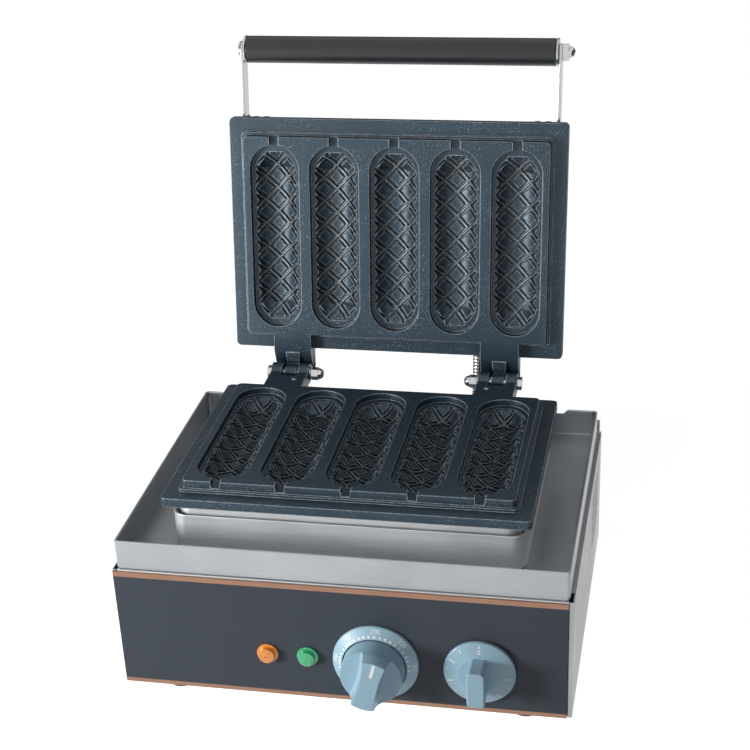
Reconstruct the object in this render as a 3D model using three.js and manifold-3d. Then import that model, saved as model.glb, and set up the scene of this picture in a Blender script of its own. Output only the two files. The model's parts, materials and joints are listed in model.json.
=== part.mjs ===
// Hot dog waffle maker: a counter-top machine whose hinged cast plates bake five waffles on sticks.
// Millimetres, +Z up, front towards -Y. The lid stands open in the rest position.
import * as THREE from "three";
import { mergeVertices } from "three/addons/utils/BufferGeometryUtils.js";
import Module from "manifold-3d";

const wasm = await Module();
wasm.setup();

// Clearances and shared sizes
const GAP = 0.3;
const OVERRUN = 1;
const SHEET = 1.2;
const MERGE_TOLERANCE = 1e-4;
const CORNER_SEGMENTS = 3;
const FINE_SIDES = 28;
const ROUND_SIDES = 16;
const SMALL_SIDES = 10;
const HEX_SIDES = 6;

// Body
const BODY_WIDTH = 360;
const BODY_DEPTH = 274;
const BODY_HEIGHT = 106;
const FASCIA_THICKNESS = 1.2;
const FASCIA_LEFT_INSET = 0.5;
const FASCIA_RIGHT_INSET = 3.9;
const FASCIA_TOP_DROP = 1;
const SIDE_RETURN = 3.6;
const TOP_FLANGE = 14;
const BACK_UPSTAND = 11.3;
const VENT_COUNT = 4;
const VENT_LENGTH = 60;
const VENT_HEIGHT = 4;
const VENT_PITCH = 13;
const VENT_LOW_Z = 45;
const VENT_FROM_BACK = 64;

// Feet
const FOOT_HEIGHT = 14.5;
const FOOT_TOP_RADIUS = 13;
const FOOT_BOTTOM_RADIUS = 11.5;
const FOOT_FROM_SIDE = 38.5;
const FOOT_INSET_Y = 28;
const FOOT_RECESS_RADIUS = 5.5;
const FOOT_RECESS_DEPTH = 8;
const FOOT_SCREW_RADIUS = 2;
const FOOT_SCREW_HEAD_RADIUS = 4.2;
const FOOT_SCREW_HEAD = 2.5;
const FOOT_SCREW_REACH = 6;

// Oil tray
const TRAY_INSET = 3.2;
const TRAY_REAR_INSET = 9.2;
const TRAY_HEIGHT = 24.8;
const TRAY_CORNER = 3;
const TRAY_HEM = 4;
const TRAY_HEM_EXTRA = 1;
const TRAY_NOTCH_BEYOND_PLATE = 2;
const TRAY_NOTCH_DROP = 4.5;

// Heater box
const BOX_SIDE_INSET = 5;
const BOX_FRONT_INSET = 5.6;
const BOX_REAR_INSET = 5.9;
const BOX_CORNER = 12;
const BOX_LINER_INSET = 4;
const BOX_RIM_BELOW_PLATE = 9.5;

// Cooking plates, in a frame with the flange's face at z = 0 and the hinge side towards +Y
const PLATE_WIDTH = 290;
const PLATE_FRONT_Y = 31.4;
const PLATE_REAR_MARGIN = 41.1;
const PLATE_FACE_ABOVE_TRAY = 24.4;
const PLATE_CORNER = 4;
const FLANGE_THICKNESS = 8;
const PLINTH_MARGIN_X = 11;
const PLINTH_MARGIN_Y = 11.8;
const PLINTH_RISE = 2.4;
const PANEL_STEP = 2.6;
const PANEL_RISE = 9;
const PANEL_CORNER = 4;
const BACK_BLOCK_MARGIN = 18;
const BACK_BLOCK_THICKNESS = 6;

// Cavities
const CAVITY_COUNT = 5;
const CAVITY_PITCH = 52;
const STEP_WIDTH = 42.4;
const STEP_END_MARGIN = 21.3;
const STEP_DEPTH = 5.5;
const RECESS_HALF_WIDTH = 18.4;
const RECESS_END_MARGIN = 6.75;
const RECESS_END_HALF_WIDTH = 9.6;
const RECESS_END_TAPER = 14;
const RECESS_DEPTH = 15;
const GROOVE_DEPTH = 2.2;
const LATTICE_PITCH = 20.4;
const LATTICE_STEPS = 4;
const STICK_SLOT_WIDTH = 7.3;

// Hinges
const HINGE_OVERHANG = 18.8;
const HINGE_CENTRE_X = 91.6;
const LOWER_AXIS_RISE = 4.7;
const CLOSED_GAP = 1;
const EAR_WIDTH = 9.5;
const TONGUE_WIDTH = 10.2;
const TONGUE_PLAY = 2.2;
const BARREL_RADIUS = 6.4;
const LUG_THICKNESS = 11;
const EAR_SLOT_REACH = 14;
const TONGUE_REACH = 12.6;
const TONGUE_PROUD = 2.8;
const LUG_FACE_END = 15.3;
const LUG_SLOPE_END = 4;
const LUG_SLOPE_RISE = 9;
const OPEN_ANGLE = THREE.MathUtils.degToRad(99.6);

// Hinge bolts and stop screws
const BOLT_RADIUS = 3;
const BOLT_PLAY = 0.25;
const BOLT_HEAD_FLATS = 10;
const BOLT_HEAD = 4;
const WASHER_RADIUS = 6;
const WASHER_THICKNESS = 1.2;
const NUT_HEX = 5.2;
const NUT_DOME_RADIUS = 4.7;
const STOP_SCREW_RADIUS = 2;
const STOP_SCREW_DEPTH = 4;
const STOP_SCREW_FROM_AXIS = 21;

// Lid cover and handle, in a frame at the hinge axis with the lid closed
const COVER_INSET = 5.5;
const COVER_HEIGHT = 22;
const COVER_CORNER = 12;
const GRIP_RADIUS = 11.3;
const GRIP_HALF_LENGTH = 131.4;
const GRIP_CAP = 2;
const GRIP_CAP_LIP = 0.3;
const GRIP_BEYOND_PLATE = 55;
const GRIP_ABOVE_FACE = 20;
const ARM_THICKNESS = 2.5;
const ARM_WIDTH = 14;
const ARM_FOOT = 26;
const ARM_SCREW_RADIUS = 3.4;
const ARM_SCREW_HEAD = 2;
const ARM_SCREW_SHANK = 1.8;
const ARM_SCREW_REACH = 3.5;
const ARM_SCREW_SHARES = [0.25, 0.6];
const ROD_RADIUS = 4;
const ROD_HEAD_RADIUS = 7;
const ROD_HEAD = 2.6;
const ROD_HEAD_CROWN_SHARES = [0.8, 0.7];

// Heating elements
const ELEMENT_RADIUS = 3.5;
const ELEMENT_HALF_SIDES = 3;
const ELEMENT_STEPS = 32;
const ELEMENT_SPAN_X = 104;
const ELEMENT_END_MARGIN = 34.75;
const ELEMENT_TAIL_X = 16;
const ELEMENT_TAIL_MARGIN = 16.75;
const ELEMENT_BEND = 24;

// Wire conduit between the lid and the heater box
const CONDUIT_X = 70;
const CONDUIT_COIL_RADIUS = 3.8;
const CONDUIT_WIRE_RADIUS = 0.85;
const CONDUIT_PITCH = 3;
const CONDUIT_WIRE_SIDES = 5;
const CONDUIT_TURN_STEPS = 8;
const CONDUIT_BELOW_RIM = 7;
const CONDUIT_CORE_RADIUS = 2.4;
const CONDUIT_CORE_STEPS = 18;
const CONDUIT_BEND = 32;
const COLLAR_FLATS = 12;
const COLLAR_LENGTH = 6;
const COLLAR_BORE_RADIUS = 3.2;

// Thermostat
const THERMOSTAT_X = 28;
const KNOB_Z = 39.3;
const DIAL_RADIUS = 33.5;
const DIAL_THICKNESS = 2;
const DIAL_BORE_RADIUS = 17;
const DIAL_EDGE_SHARE = 0.4;
const THERMOSTAT_KNOB_RADIUS = 24.5;
const THERMOSTAT_KNOB_BACK = 6.5;
const THERMOSTAT_KNOB_FACE = 18;
const THERMOSTAT_KNOB_FRONT = 32;
const THERMOSTAT_HUB_RADIUS = 14;
const THERMOSTAT_GRIP_WIDTH = 17;
const THERMOSTAT_GRIP_WAIST = 15.4;
const THERMOSTAT_REST_TURN = THREE.MathUtils.degToRad(15);
const THERMOSTAT_BODY_WIDTH = 40;
const THERMOSTAT_BODY_HEIGHT = 32;
const THERMOSTAT_BODY_DEPTH = 34;

// Timer
const TIMER_X = 109.4;
const TIMER_SKIRT_RADIUS = 28;
const TIMER_SKIRT_EDGE = 4;
const TIMER_CONE_RADIUS = 15.5;
const TIMER_CONE_FACE = 8;
const TIMER_KNOB_FRONT = 28;
const TIMER_GRIP_WIDTH = 12.3;
const TIMER_GRIP_EDGE = 1.8;
const TIMER_BODY_SIZE = 46;
const TIMER_BODY_DEPTH = 38;

// Shafts
const SHAFT_RADIUS = 3;
const SHAFT_PLAY = 0.35;
const SHAFT_BEHIND_PANEL = 12;
const SHAFT_IN_KNOB = 10;
const PANEL_SHAFT_HOLE_RADIUS = 5;

// Lamps
const LAMP_Z = 39.5;
const ORANGE_LAMP_X = -58.5;
const GREEN_LAMP_X = -26.3;
const LAMP_FLANGE_RADIUS = 8.6;
const LAMP_FLANGE = 1.6;
const LAMP_CAP_RADIUS = 6.6;
const LAMP_CAP_FRONT = 6;
const LAMP_SHANK_RADIUS = 4.8;
const LAMP_SHANK_REACH = 9;
const LAMP_BODY_RADIUS = 7;
const LAMP_BODY_DEPTH = 24;
const LAMP_HOLE_RADIUS = 5.2;

// Terminal block and cable gland
const TERMINAL_BLOCK_FROM_SIDE = 70;
const TERMINAL_BLOCK_FROM_BACK = 74;
const TERMINAL_BLOCK_WIDTH = 62;
const TERMINAL_BLOCK_DEPTH = 20;
const TERMINAL_BLOCK_HEIGHT = 16;
const GLAND_FROM_SIDE = 60;
const GLAND_Z = 26;
const GLAND_FLATS = 20;
const GLAND_NUT = 8;
const GLAND_CAP_RADIUS = 8.5;
const GLAND_CAP = 6;
const GLAND_BORE_RADIUS = 4.5;
const GLAND_NECK_RADIUS = 7.5;

// Places worked out from the sizes above
const PANEL_Y = FASCIA_THICKNESS + GAP;
const PANEL_BACK_Y = PANEL_Y + SHEET;
const INNER_HALF_WIDTH = BODY_WIDTH / 2 - SHEET - GAP;
const TRAY_BOTTOM_Z = BODY_HEIGHT + GAP;
const FOOT_X = BODY_WIDTH / 2 - FOOT_FROM_SIDE;
const VENT_CENTRE_Y = BODY_DEPTH - VENT_FROM_BACK;
const TERMINAL_BLOCK_X = TERMINAL_BLOCK_FROM_SIDE - BODY_WIDTH / 2;
const TERMINAL_BLOCK_Y = BODY_DEPTH - TERMINAL_BLOCK_FROM_BACK;
const GLAND_X = GLAND_FROM_SIDE - BODY_WIDTH / 2;
const TRAY_HALF_WIDTH = BODY_WIDTH / 2 - TRAY_INSET;
const TRAY_DEPTH = BODY_DEPTH - TRAY_INSET - TRAY_REAR_INSET;
const TRAY_NOTCH_HALF_WIDTH = PLATE_WIDTH / 2 + TRAY_NOTCH_BEYOND_PLATE;
const TRAY_TOP_Z = TRAY_BOTTOM_Z + TRAY_HEIGHT;
const TRAY_FLOOR_Z = TRAY_BOTTOM_Z + SHEET;
const PLATE_FACE_Z = TRAY_TOP_Z + PLATE_FACE_ABOVE_TRAY;
const PLATE_DEPTH = BODY_DEPTH - PLATE_FRONT_Y - PLATE_REAR_MARGIN;
const PLATE_CENTRE_Y = PLATE_FRONT_Y + PLATE_DEPTH / 2;
const STEP_LENGTH = PLATE_DEPTH - 2 * STEP_END_MARGIN;
const RECESS_HALF_LENGTH = STEP_LENGTH / 2 - RECESS_END_MARGIN;
const ELEMENT_SPAN_Y = PLATE_DEPTH / 2 - ELEMENT_END_MARGIN;
const ELEMENT_TAIL_Y = PLATE_DEPTH / 2 - ELEMENT_TAIL_MARGIN;
const FLANGE_BOTTOM_Z = PLATE_FACE_Z - FLANGE_THICKNESS;
const BOX_BOTTOM_Z = TRAY_FLOOR_Z + GAP;
const BOX_TOP_Z = FLANGE_BOTTOM_Z - BOX_RIM_BELOW_PLATE;
const BOX_HALF_WIDTH = PLATE_WIDTH / 2 - BOX_SIDE_INSET;
const BOX_FRONT_Y = PLATE_FRONT_Y + BOX_FRONT_INSET;
const BOX_DEPTH = PLATE_DEPTH - BOX_FRONT_INSET - BOX_REAR_INSET;
const BOX_CENTRE_Y = BOX_FRONT_Y + BOX_DEPTH / 2;
const BOX_REAR_Y = BOX_FRONT_Y + BOX_DEPTH;
const AXIS_FROM_CENTRE = PLATE_DEPTH / 2 + HINGE_OVERHANG;
const HINGE_Y = PLATE_CENTRE_Y + AXIS_FROM_CENTRE;
const HINGE_Z = PLATE_FACE_Z + LOWER_AXIS_RISE;
const UPPER_AXIS_RISE = 2 * PANEL_RISE + CLOSED_GAP - LOWER_AXIS_RISE;
const STOP_SCREW_RISE = CLOSED_GAP - GAP;
const LUG_HALF_WIDTH = TONGUE_WIDTH / 2 + TONGUE_PLAY + EAR_WIDTH;
const LID_BACK_Z = UPPER_AXIS_RISE + FLANGE_THICKNESS;
const COVER_BOTTOM_Z = LID_BACK_Z + GAP;
const COVER_TOP_Z = COVER_BOTTOM_Z + COVER_HEIGHT;
const COVER_REAR_Y = -(HINGE_OVERHANG + COVER_INSET);
const COVER_FRONT_Y = -(HINGE_OVERHANG + PLATE_DEPTH - COVER_INSET);
const COVER_HALF_WIDTH = PLATE_WIDTH / 2 - COVER_INSET;
const GRIP_Y = -(HINGE_OVERHANG + PLATE_DEPTH + GRIP_BEYOND_PLATE);
const GRIP_Z = UPPER_AXIS_RISE + GRIP_ABOVE_FACE;
const ARM_INNER_X = GRIP_HALF_LENGTH + 2 * GAP + GRIP_CAP;
const ARM_OUTER_X = ARM_INNER_X + ARM_THICKNESS;
const CONDUIT_LID_Z = COVER_BOTTOM_Z + COVER_HEIGHT / 2;
const CONDUIT_BOX_Z = BOX_TOP_Z - CONDUIT_BELOW_RIM;

// Turns a point of the closed lid's frame into the open position, in body coordinates.
function lidPoint(x, y, z) {
  const point = new THREE.Vector3(x, y, z);
  point.applyAxisAngle(new THREE.Vector3(1, 0, 0), -OPEN_ANGLE);
  return point.add(new THREE.Vector3(0, HINGE_Y, HINGE_Z));
}

const GRIP_OPEN = lidPoint(0, GRIP_Y, GRIP_Z);
const FRONT_EXTENT = -THERMOSTAT_KNOB_FRONT;
const REAR_EXTENT = GRIP_OPEN.y + GRIP_RADIUS + GRIP_CAP_LIP;

// Materials
const material = (color, roughness, metalness) =>
  new THREE.MeshStandardMaterial({ color, roughness, metalness });
const stainless = material(0xb4b6b8, 0.32, 0.9);
const coatedCasting = material(0x3a464f, 0.5, 0.4);
const fasciaPaint = material(0x3f454c, 0.55, 0.2);
const knobPlastic = material(0x8fa9b4, 0.4, 0.05);
const dialMetal = material(0x9fb4bd, 0.4, 0.5);
const gripPlastic = material(0x3b3e41, 0.55, 0);
const brightSteel = material(0xd4d6d8, 0.2, 1);
const rubber = material(0x1d1e20, 0.85, 0);
const orangeLens = material(0xe8901e, 0.25, 0);
const greenLens = material(0x2fae63, 0.25, 0);
const darkPlastic = material(0x232427, 0.6, 0);
const elementSheath = material(0x6f6a64, 0.5, 0.8);
const wireSleeve = material(0x8c7a4a, 0.8, 0);

// A geometry as a manifold-3d solid
function solidOf(geometry) {
  const bare = geometry.clone();
  bare.deleteAttribute("normal");
  bare.deleteAttribute("uv");
  const merged = mergeVertices(bare, MERGE_TOLERANCE);
  const triVerts = new Uint32Array(merged.index.array);
  const vertProperties = new Float32Array(merged.attributes.position.array);
  return new wasm.Manifold(new wasm.Mesh({ numProp: 3, vertProperties, triVerts }));
}

function geometryOf(solid) {
  const { vertProperties, triVerts } = solid.getMesh();
  const geometry = new THREE.BufferGeometry();
  geometry.setAttribute("position", new THREE.BufferAttribute(new Float32Array(vertProperties), 3));
  geometry.setIndex(new THREE.BufferAttribute(new Uint32Array(triVerts), 1));
  geometry.computeVertexNormals();
  return geometry;
}

function cut(geometry, ...tools) {
  return geometryOf(tools.reduce((left, tool) => left.subtract(solidOf(tool)), solidOf(geometry)));
}

function join(geometry, ...others) {
  return geometryOf(others.reduce((sum, other) => sum.add(solidOf(other)), solidOf(geometry)));
}

function common(geometry, other) {
  return geometryOf(solidOf(geometry).intersect(solidOf(other)));
}

// A block between two values on each axis
function block([left, right], [front, back], [bottom, top]) {
  const geometry = new THREE.BoxGeometry(right - left, back - front, top - bottom);
  return geometry.translate((left + right) / 2, (front + back) / 2, (bottom + top) / 2);
}

function roundedRectangle(width, depth, radius) {
  const [halfX, halfY] = [width / 2, depth / 2];
  const shape = new THREE.Shape();
  shape.moveTo(radius - halfX, -halfY);
  shape.absarc(halfX - radius, radius - halfY, radius, -Math.PI / 2, 0);
  shape.absarc(halfX - radius, halfY - radius, radius, 0, Math.PI / 2);
  shape.absarc(radius - halfX, halfY - radius, radius, Math.PI / 2, Math.PI);
  shape.absarc(radius - halfX, radius - halfY, radius, Math.PI, Math.PI * 1.5);
  return shape;
}

// An outline in X and Y, raised between two heights
function upright(shape, bottom, top, curveSegments = CORNER_SEGMENTS) {
  const options = { depth: top - bottom, bevelEnabled: false, curveSegments };
  return new THREE.ExtrudeGeometry(shape, options).translate(0, 0, bottom);
}

// An outline in X and Z, drawn from y = back towards the front
function forward(shape, back, front, curveSegments = CORNER_SEGMENTS) {
  const options = { depth: back - front, bevelEnabled: false, curveSegments };
  return new THREE.ExtrudeGeometry(shape, options).rotateX(Math.PI / 2).translate(0, back, 0);
}

// An outline in Y and Z, drawn along X
function sideways(points, left, right) {
  const shape = new THREE.Shape(points.map(([y, z]) => new THREE.Vector2(y, z)));
  const options = { depth: right - left, bevelEnabled: false };
  const turn = new THREE.Matrix4().makeBasis(
    new THREE.Vector3(0, 1, 0),
    new THREE.Vector3(0, 0, 1),
    new THREE.Vector3(1, 0, 0),
  );
  return new THREE.ExtrudeGeometry(shape, options).applyMatrix4(turn).translate(left, 0, 0);
}

// Round bars along the three axes, between two values on that axis
function barX(radius, left, right, y, z, sides = SMALL_SIDES) {
  const geometry = new THREE.CylinderGeometry(radius, radius, right - left, sides);
  return geometry.rotateZ(-Math.PI / 2).translate((left + right) / 2, y, z);
}

function barY(radius, front, back, x, z, sides = SMALL_SIDES) {
  const geometry = new THREE.CylinderGeometry(radius, radius, back - front, sides);
  return geometry.translate(x, (front + back) / 2, z);
}

function barZ(radius, bottom, top, x, y, sides = SMALL_SIDES) {
  const geometry = new THREE.CylinderGeometry(radius, radius, top - bottom, sides);
  return geometry.rotateX(Math.PI / 2).translate(x, y, (bottom + top) / 2);
}

// A turned solid whose profile is given as [radius, reach] pairs, its reach along the chosen direction
function turned(profile, sides = FINE_SIDES) {
  const points = profile.map(([radius, reach]) => new THREE.Vector2(radius, reach));
  return geometryOf(solidOf(new THREE.LatheGeometry(points, sides)));
}

const acrossFlats = (flats) => flats / Math.sqrt(3);

// What stands on both sides is drawn on the right and mirrored by a scale of -1 on the left.
const SIDES = [
  ["left", -1],
  ["right", 1],
];

const root = new THREE.Group();
const base = new THREE.Group();
base.position.set(0, -(FRONT_EXTENT + REAR_EXTENT) / 2, FOOT_HEIGHT);
root.add(base);
const lid = new THREE.Group();
lid.position.set(0, HINGE_Y, HINGE_Z);
lid.rotation.x = -OPEN_ANGLE;
base.add(lid);

function place(parent, name, geometry, meshMaterial) {
  const mesh = new THREE.Mesh(geometry, meshMaterial);
  mesh.name = name;
  parent.add(mesh);
  return mesh;
}

// Holes through the front panel and the fascia
function frontHoles() {
  const [front, back] = [-OVERRUN, PANEL_BACK_Y + OVERRUN];
  const shafts = [THERMOSTAT_X, TIMER_X].map((x) =>
    barY(PANEL_SHAFT_HOLE_RADIUS, front, back, x, KNOB_Z),
  );
  const lamps = [ORANGE_LAMP_X, GREEN_LAMP_X].map((x) =>
    barY(LAMP_HOLE_RADIUS, front, back, x, LAMP_Z),
  );
  return [...shafts, ...lamps];
}

function footPlaces() {
  const frontY = FOOT_INSET_Y;
  const rearY = BODY_DEPTH - FOOT_INSET_Y;
  return [
    ["front_left", -FOOT_X, frontY],
    ["front_right", FOOT_X, frontY],
    ["rear_left", -FOOT_X, rearY],
    ["rear_right", FOOT_X, rearY],
  ];
}

function addFrontPanel() {
  const halfWidth = BODY_WIDTH / 2 - SIDE_RETURN - GAP;
  const plate = block([-halfWidth, halfWidth], [PANEL_Y, PANEL_BACK_Y], [0, BODY_HEIGHT]);
  const flange = block(
    [-halfWidth, halfWidth],
    [PANEL_Y, PANEL_Y + TOP_FLANGE],
    [BODY_HEIGHT - SHEET, BODY_HEIGHT],
  );
  place(base, "front_panel", cut(join(plate, flange), ...frontHoles()), stainless);
}

function addFascia() {
  const [left, right] = [FASCIA_LEFT_INSET - BODY_WIDTH / 2, BODY_WIDTH / 2 - FASCIA_RIGHT_INSET];
  const plate = block([left, right], [0, FASCIA_THICKNESS], [0, BODY_HEIGHT - FASCIA_TOP_DROP]);
  place(base, "control_fascia", cut(plate, ...frontHoles()), fasciaPaint);
}

function addSidePanels() {
  const outer = BODY_WIDTH / 2;
  const wall = block([outer - SHEET, outer], [PANEL_Y, BODY_DEPTH], [0, BODY_HEIGHT]);
  const front = block([outer - SIDE_RETURN, outer], [PANEL_Y, PANEL_BACK_Y], [0, BODY_HEIGHT]);
  const flange = block(
    [outer - TOP_FLANGE, outer],
    [PANEL_Y + TOP_FLANGE + GAP, BODY_DEPTH - SHEET - TOP_FLANGE - 2 * GAP],
    [BODY_HEIGHT - SHEET, BODY_HEIGHT],
  );
  const vents = [];
  for (let row = 0; row < VENT_COUNT; row += 1) {
    const z = VENT_LOW_Z + row * VENT_PITCH;
    vents.push(
      block(
        [outer - SHEET - OVERRUN, outer + OVERRUN],
        [VENT_CENTRE_Y - VENT_LENGTH / 2, VENT_CENTRE_Y + VENT_LENGTH / 2],
        [z - VENT_HEIGHT / 2, z + VENT_HEIGHT / 2],
      ),
    );
  }
  const panel = cut(join(wall, front, flange), ...vents);
  for (const [name, side] of SIDES) {
    place(base, `${name}_side_panel`, panel, stainless).scale.x = side;
  }
}

function addBackPanel() {
  const [front, back] = [BODY_DEPTH - SHEET, BODY_DEPTH];
  const top = BODY_HEIGHT + BACK_UPSTAND;
  const wall = block([-INNER_HALF_WIDTH, INNER_HALF_WIDTH], [front, back], [0, top]);
  const flange = block(
    [-INNER_HALF_WIDTH, INNER_HALF_WIDTH],
    [front - TOP_FLANGE, back],
    [BODY_HEIGHT - SHEET, BODY_HEIGHT],
  );
  const inlet = barY(GLAND_NECK_RADIUS + GAP, front - OVERRUN, back + OVERRUN, GLAND_X, GLAND_Z);
  place(base, "back_panel", cut(join(wall, flange), inlet), stainless);
}

function addBasePan() {
  const pan = block(
    [-INNER_HALF_WIDTH, INNER_HALF_WIDTH],
    [PANEL_BACK_Y + GAP, BODY_DEPTH - SHEET - GAP],
    [0, SHEET],
  );
  const holes = footPlaces().map(([, x, y]) =>
    barZ(FOOT_SCREW_RADIUS + GAP, -OVERRUN, SHEET + OVERRUN, x, y, SMALL_SIDES),
  );
  place(base, "base_pan", cut(pan, ...holes), stainless);
}

function addFeet() {
  const seat = -GAP;
  const recessTop = FOOT_RECESS_DEPTH - FOOT_HEIGHT;
  const screwHeadTop = recessTop - GAP;
  for (const [corner, x, y] of footPlaces()) {
    const foot = turned(
      [
        [FOOT_RECESS_RADIUS, -FOOT_HEIGHT],
        [FOOT_BOTTOM_RADIUS, -FOOT_HEIGHT],
        [FOOT_TOP_RADIUS, seat],
        [FOOT_SCREW_RADIUS + GAP, seat],
        [FOOT_SCREW_RADIUS + GAP, recessTop],
        [FOOT_RECESS_RADIUS, recessTop],
        [FOOT_RECESS_RADIUS, -FOOT_HEIGHT],
      ],
      ROUND_SIDES,
    ).rotateX(Math.PI / 2);
    place(base, `${corner}_foot`, foot, rubber).position.set(x, y, 0);
    const screw = turned(
      [
        [0, screwHeadTop - FOOT_SCREW_HEAD],
        [FOOT_SCREW_HEAD_RADIUS, screwHeadTop - FOOT_SCREW_HEAD],
        [FOOT_SCREW_HEAD_RADIUS, screwHeadTop],
        [FOOT_SCREW_RADIUS, screwHeadTop],
        [FOOT_SCREW_RADIUS, SHEET + FOOT_SCREW_REACH],
        [0, SHEET + FOOT_SCREW_REACH],
      ],
      SMALL_SIDES,
    ).rotateX(Math.PI / 2);
    place(base, `${corner}_foot_screw`, screw, brightSteel).position.set(x, y, 0);
  }
}

// An open sheet box with rounded vertical edges; a null floor thickness leaves its bottom open
function sheetBox(width, depth, corner, bottom, top, floor) {
  const inner = upright(
    roundedRectangle(width - 2 * SHEET, depth - 2 * SHEET, corner - SHEET),
    bottom + (floor === null ? -OVERRUN : floor),
    top + OVERRUN,
  );
  return cut(upright(roundedRectangle(width, depth, corner), bottom, top), inner);
}

function addOilTray() {
  const [width, depth] = [2 * TRAY_HALF_WIDTH, TRAY_DEPTH];
  const shell = upright(
    roundedRectangle(width, depth, TRAY_CORNER),
    TRAY_BOTTOM_Z,
    TRAY_TOP_Z,
  );
  const hemInset = 2 * (SHEET + TRAY_HEM_EXTRA);
  const wallHollow = upright(
    roundedRectangle(width - 2 * SHEET, depth - 2 * SHEET, TRAY_CORNER - SHEET),
    TRAY_FLOOR_Z,
    TRAY_TOP_Z - TRAY_HEM,
  );
  const hemHollow = upright(
    roundedRectangle(width - hemInset, depth - hemInset, TRAY_CORNER - SHEET),
    TRAY_FLOOR_Z,
    TRAY_TOP_Z + OVERRUN,
  );
  const notchTop = TRAY_NOTCH_HALF_WIDTH + TRAY_NOTCH_DROP;
  const notch = new THREE.Shape([
    new THREE.Vector2(-TRAY_NOTCH_HALF_WIDTH, TRAY_TOP_Z - TRAY_NOTCH_DROP),
    new THREE.Vector2(TRAY_NOTCH_HALF_WIDTH, TRAY_TOP_Z - TRAY_NOTCH_DROP),
    new THREE.Vector2(notchTop, TRAY_TOP_Z),
    new THREE.Vector2(notchTop, TRAY_TOP_Z + OVERRUN),
    new THREE.Vector2(-notchTop, TRAY_TOP_Z + OVERRUN),
    new THREE.Vector2(-notchTop, TRAY_TOP_Z),
  ]);
  const rear = depth / 2;
  const notchCut = forward(notch, rear + OVERRUN, rear - hemInset / 2 - OVERRUN);
  const tray = cut(shell, wallHollow, hemHollow, notchCut);
  place(base, "oil_tray", tray, stainless).position.y = TRAY_INSET + TRAY_DEPTH / 2;
}

function addHeaterBox() {
  const conduitHole = barY(
    CONDUIT_COIL_RADIUS + CONDUIT_WIRE_RADIUS,
    BOX_DEPTH / 2 - SHEET - OVERRUN,
    BOX_DEPTH / 2 + OVERRUN,
    CONDUIT_X,
    CONDUIT_BOX_Z,
  );
  const outer = sheetBox(
    2 * BOX_HALF_WIDTH,
    BOX_DEPTH,
    BOX_CORNER,
    BOX_BOTTOM_Z,
    BOX_TOP_Z,
    SHEET,
  );
  place(base, "heater_box", cut(outer, conduitHole), stainless).position.y = BOX_CENTRE_Y;
  const liner = sheetBox(
    2 * (BOX_HALF_WIDTH - BOX_LINER_INSET),
    BOX_DEPTH - 2 * BOX_LINER_INSET,
    BOX_CORNER,
    BOX_BOTTOM_Z + SHEET + GAP,
    FLANGE_BOTTOM_Z - GAP,
    null,
  );
  place(base, "heater_box_liner", liner, stainless).position.y = BOX_CENTRE_Y;
}

// The octagonal outline of a cavity's patterned recess
function recessOutline() {
  const [halfX, halfY] = [RECESS_HALF_WIDTH, RECESS_HALF_LENGTH];
  const shoulderY = halfY - RECESS_END_TAPER;
  return new THREE.Shape([
    new THREE.Vector2(-RECESS_END_HALF_WIDTH, -halfY),
    new THREE.Vector2(RECESS_END_HALF_WIDTH, -halfY),
    new THREE.Vector2(halfX, -shoulderY),
    new THREE.Vector2(halfX, shoulderY),
    new THREE.Vector2(RECESS_END_HALF_WIDTH, halfY),
    new THREE.Vector2(-RECESS_END_HALF_WIDTH, halfY),
    new THREE.Vector2(-halfX, shoulderY),
    new THREE.Vector2(-halfX, -shoulderY),
  ]);
}

// Depth of the cavity's smooth trough below the panel's face
function troughDepth(x, y) {
  const across = Math.min(Math.abs(x) / RECESS_HALF_WIDTH, 1);
  const endReach = Math.max(Math.abs(y) - (RECESS_HALF_LENGTH - RECESS_END_TAPER), 0);
  const along = Math.min(endReach / RECESS_END_TAPER, 1);
  const fall = Math.sqrt(1 - across ** 2) * Math.sqrt(1 - along ** 2);
  return STEP_DEPTH + (RECESS_DEPTH - STEP_DEPTH) * fall;
}

// Ridges run at 45 degrees through the crossings; the pads stand between them.
function latticeKind(column, row) {
  const sum = Math.abs(column + row) % LATTICE_STEPS;
  const difference = Math.abs(column - row) % LATTICE_STEPS;
  if (sum % 2 === 1) return "groove";
  return sum === 0 || difference === 0 ? "ridge" : "pad";
}

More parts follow.
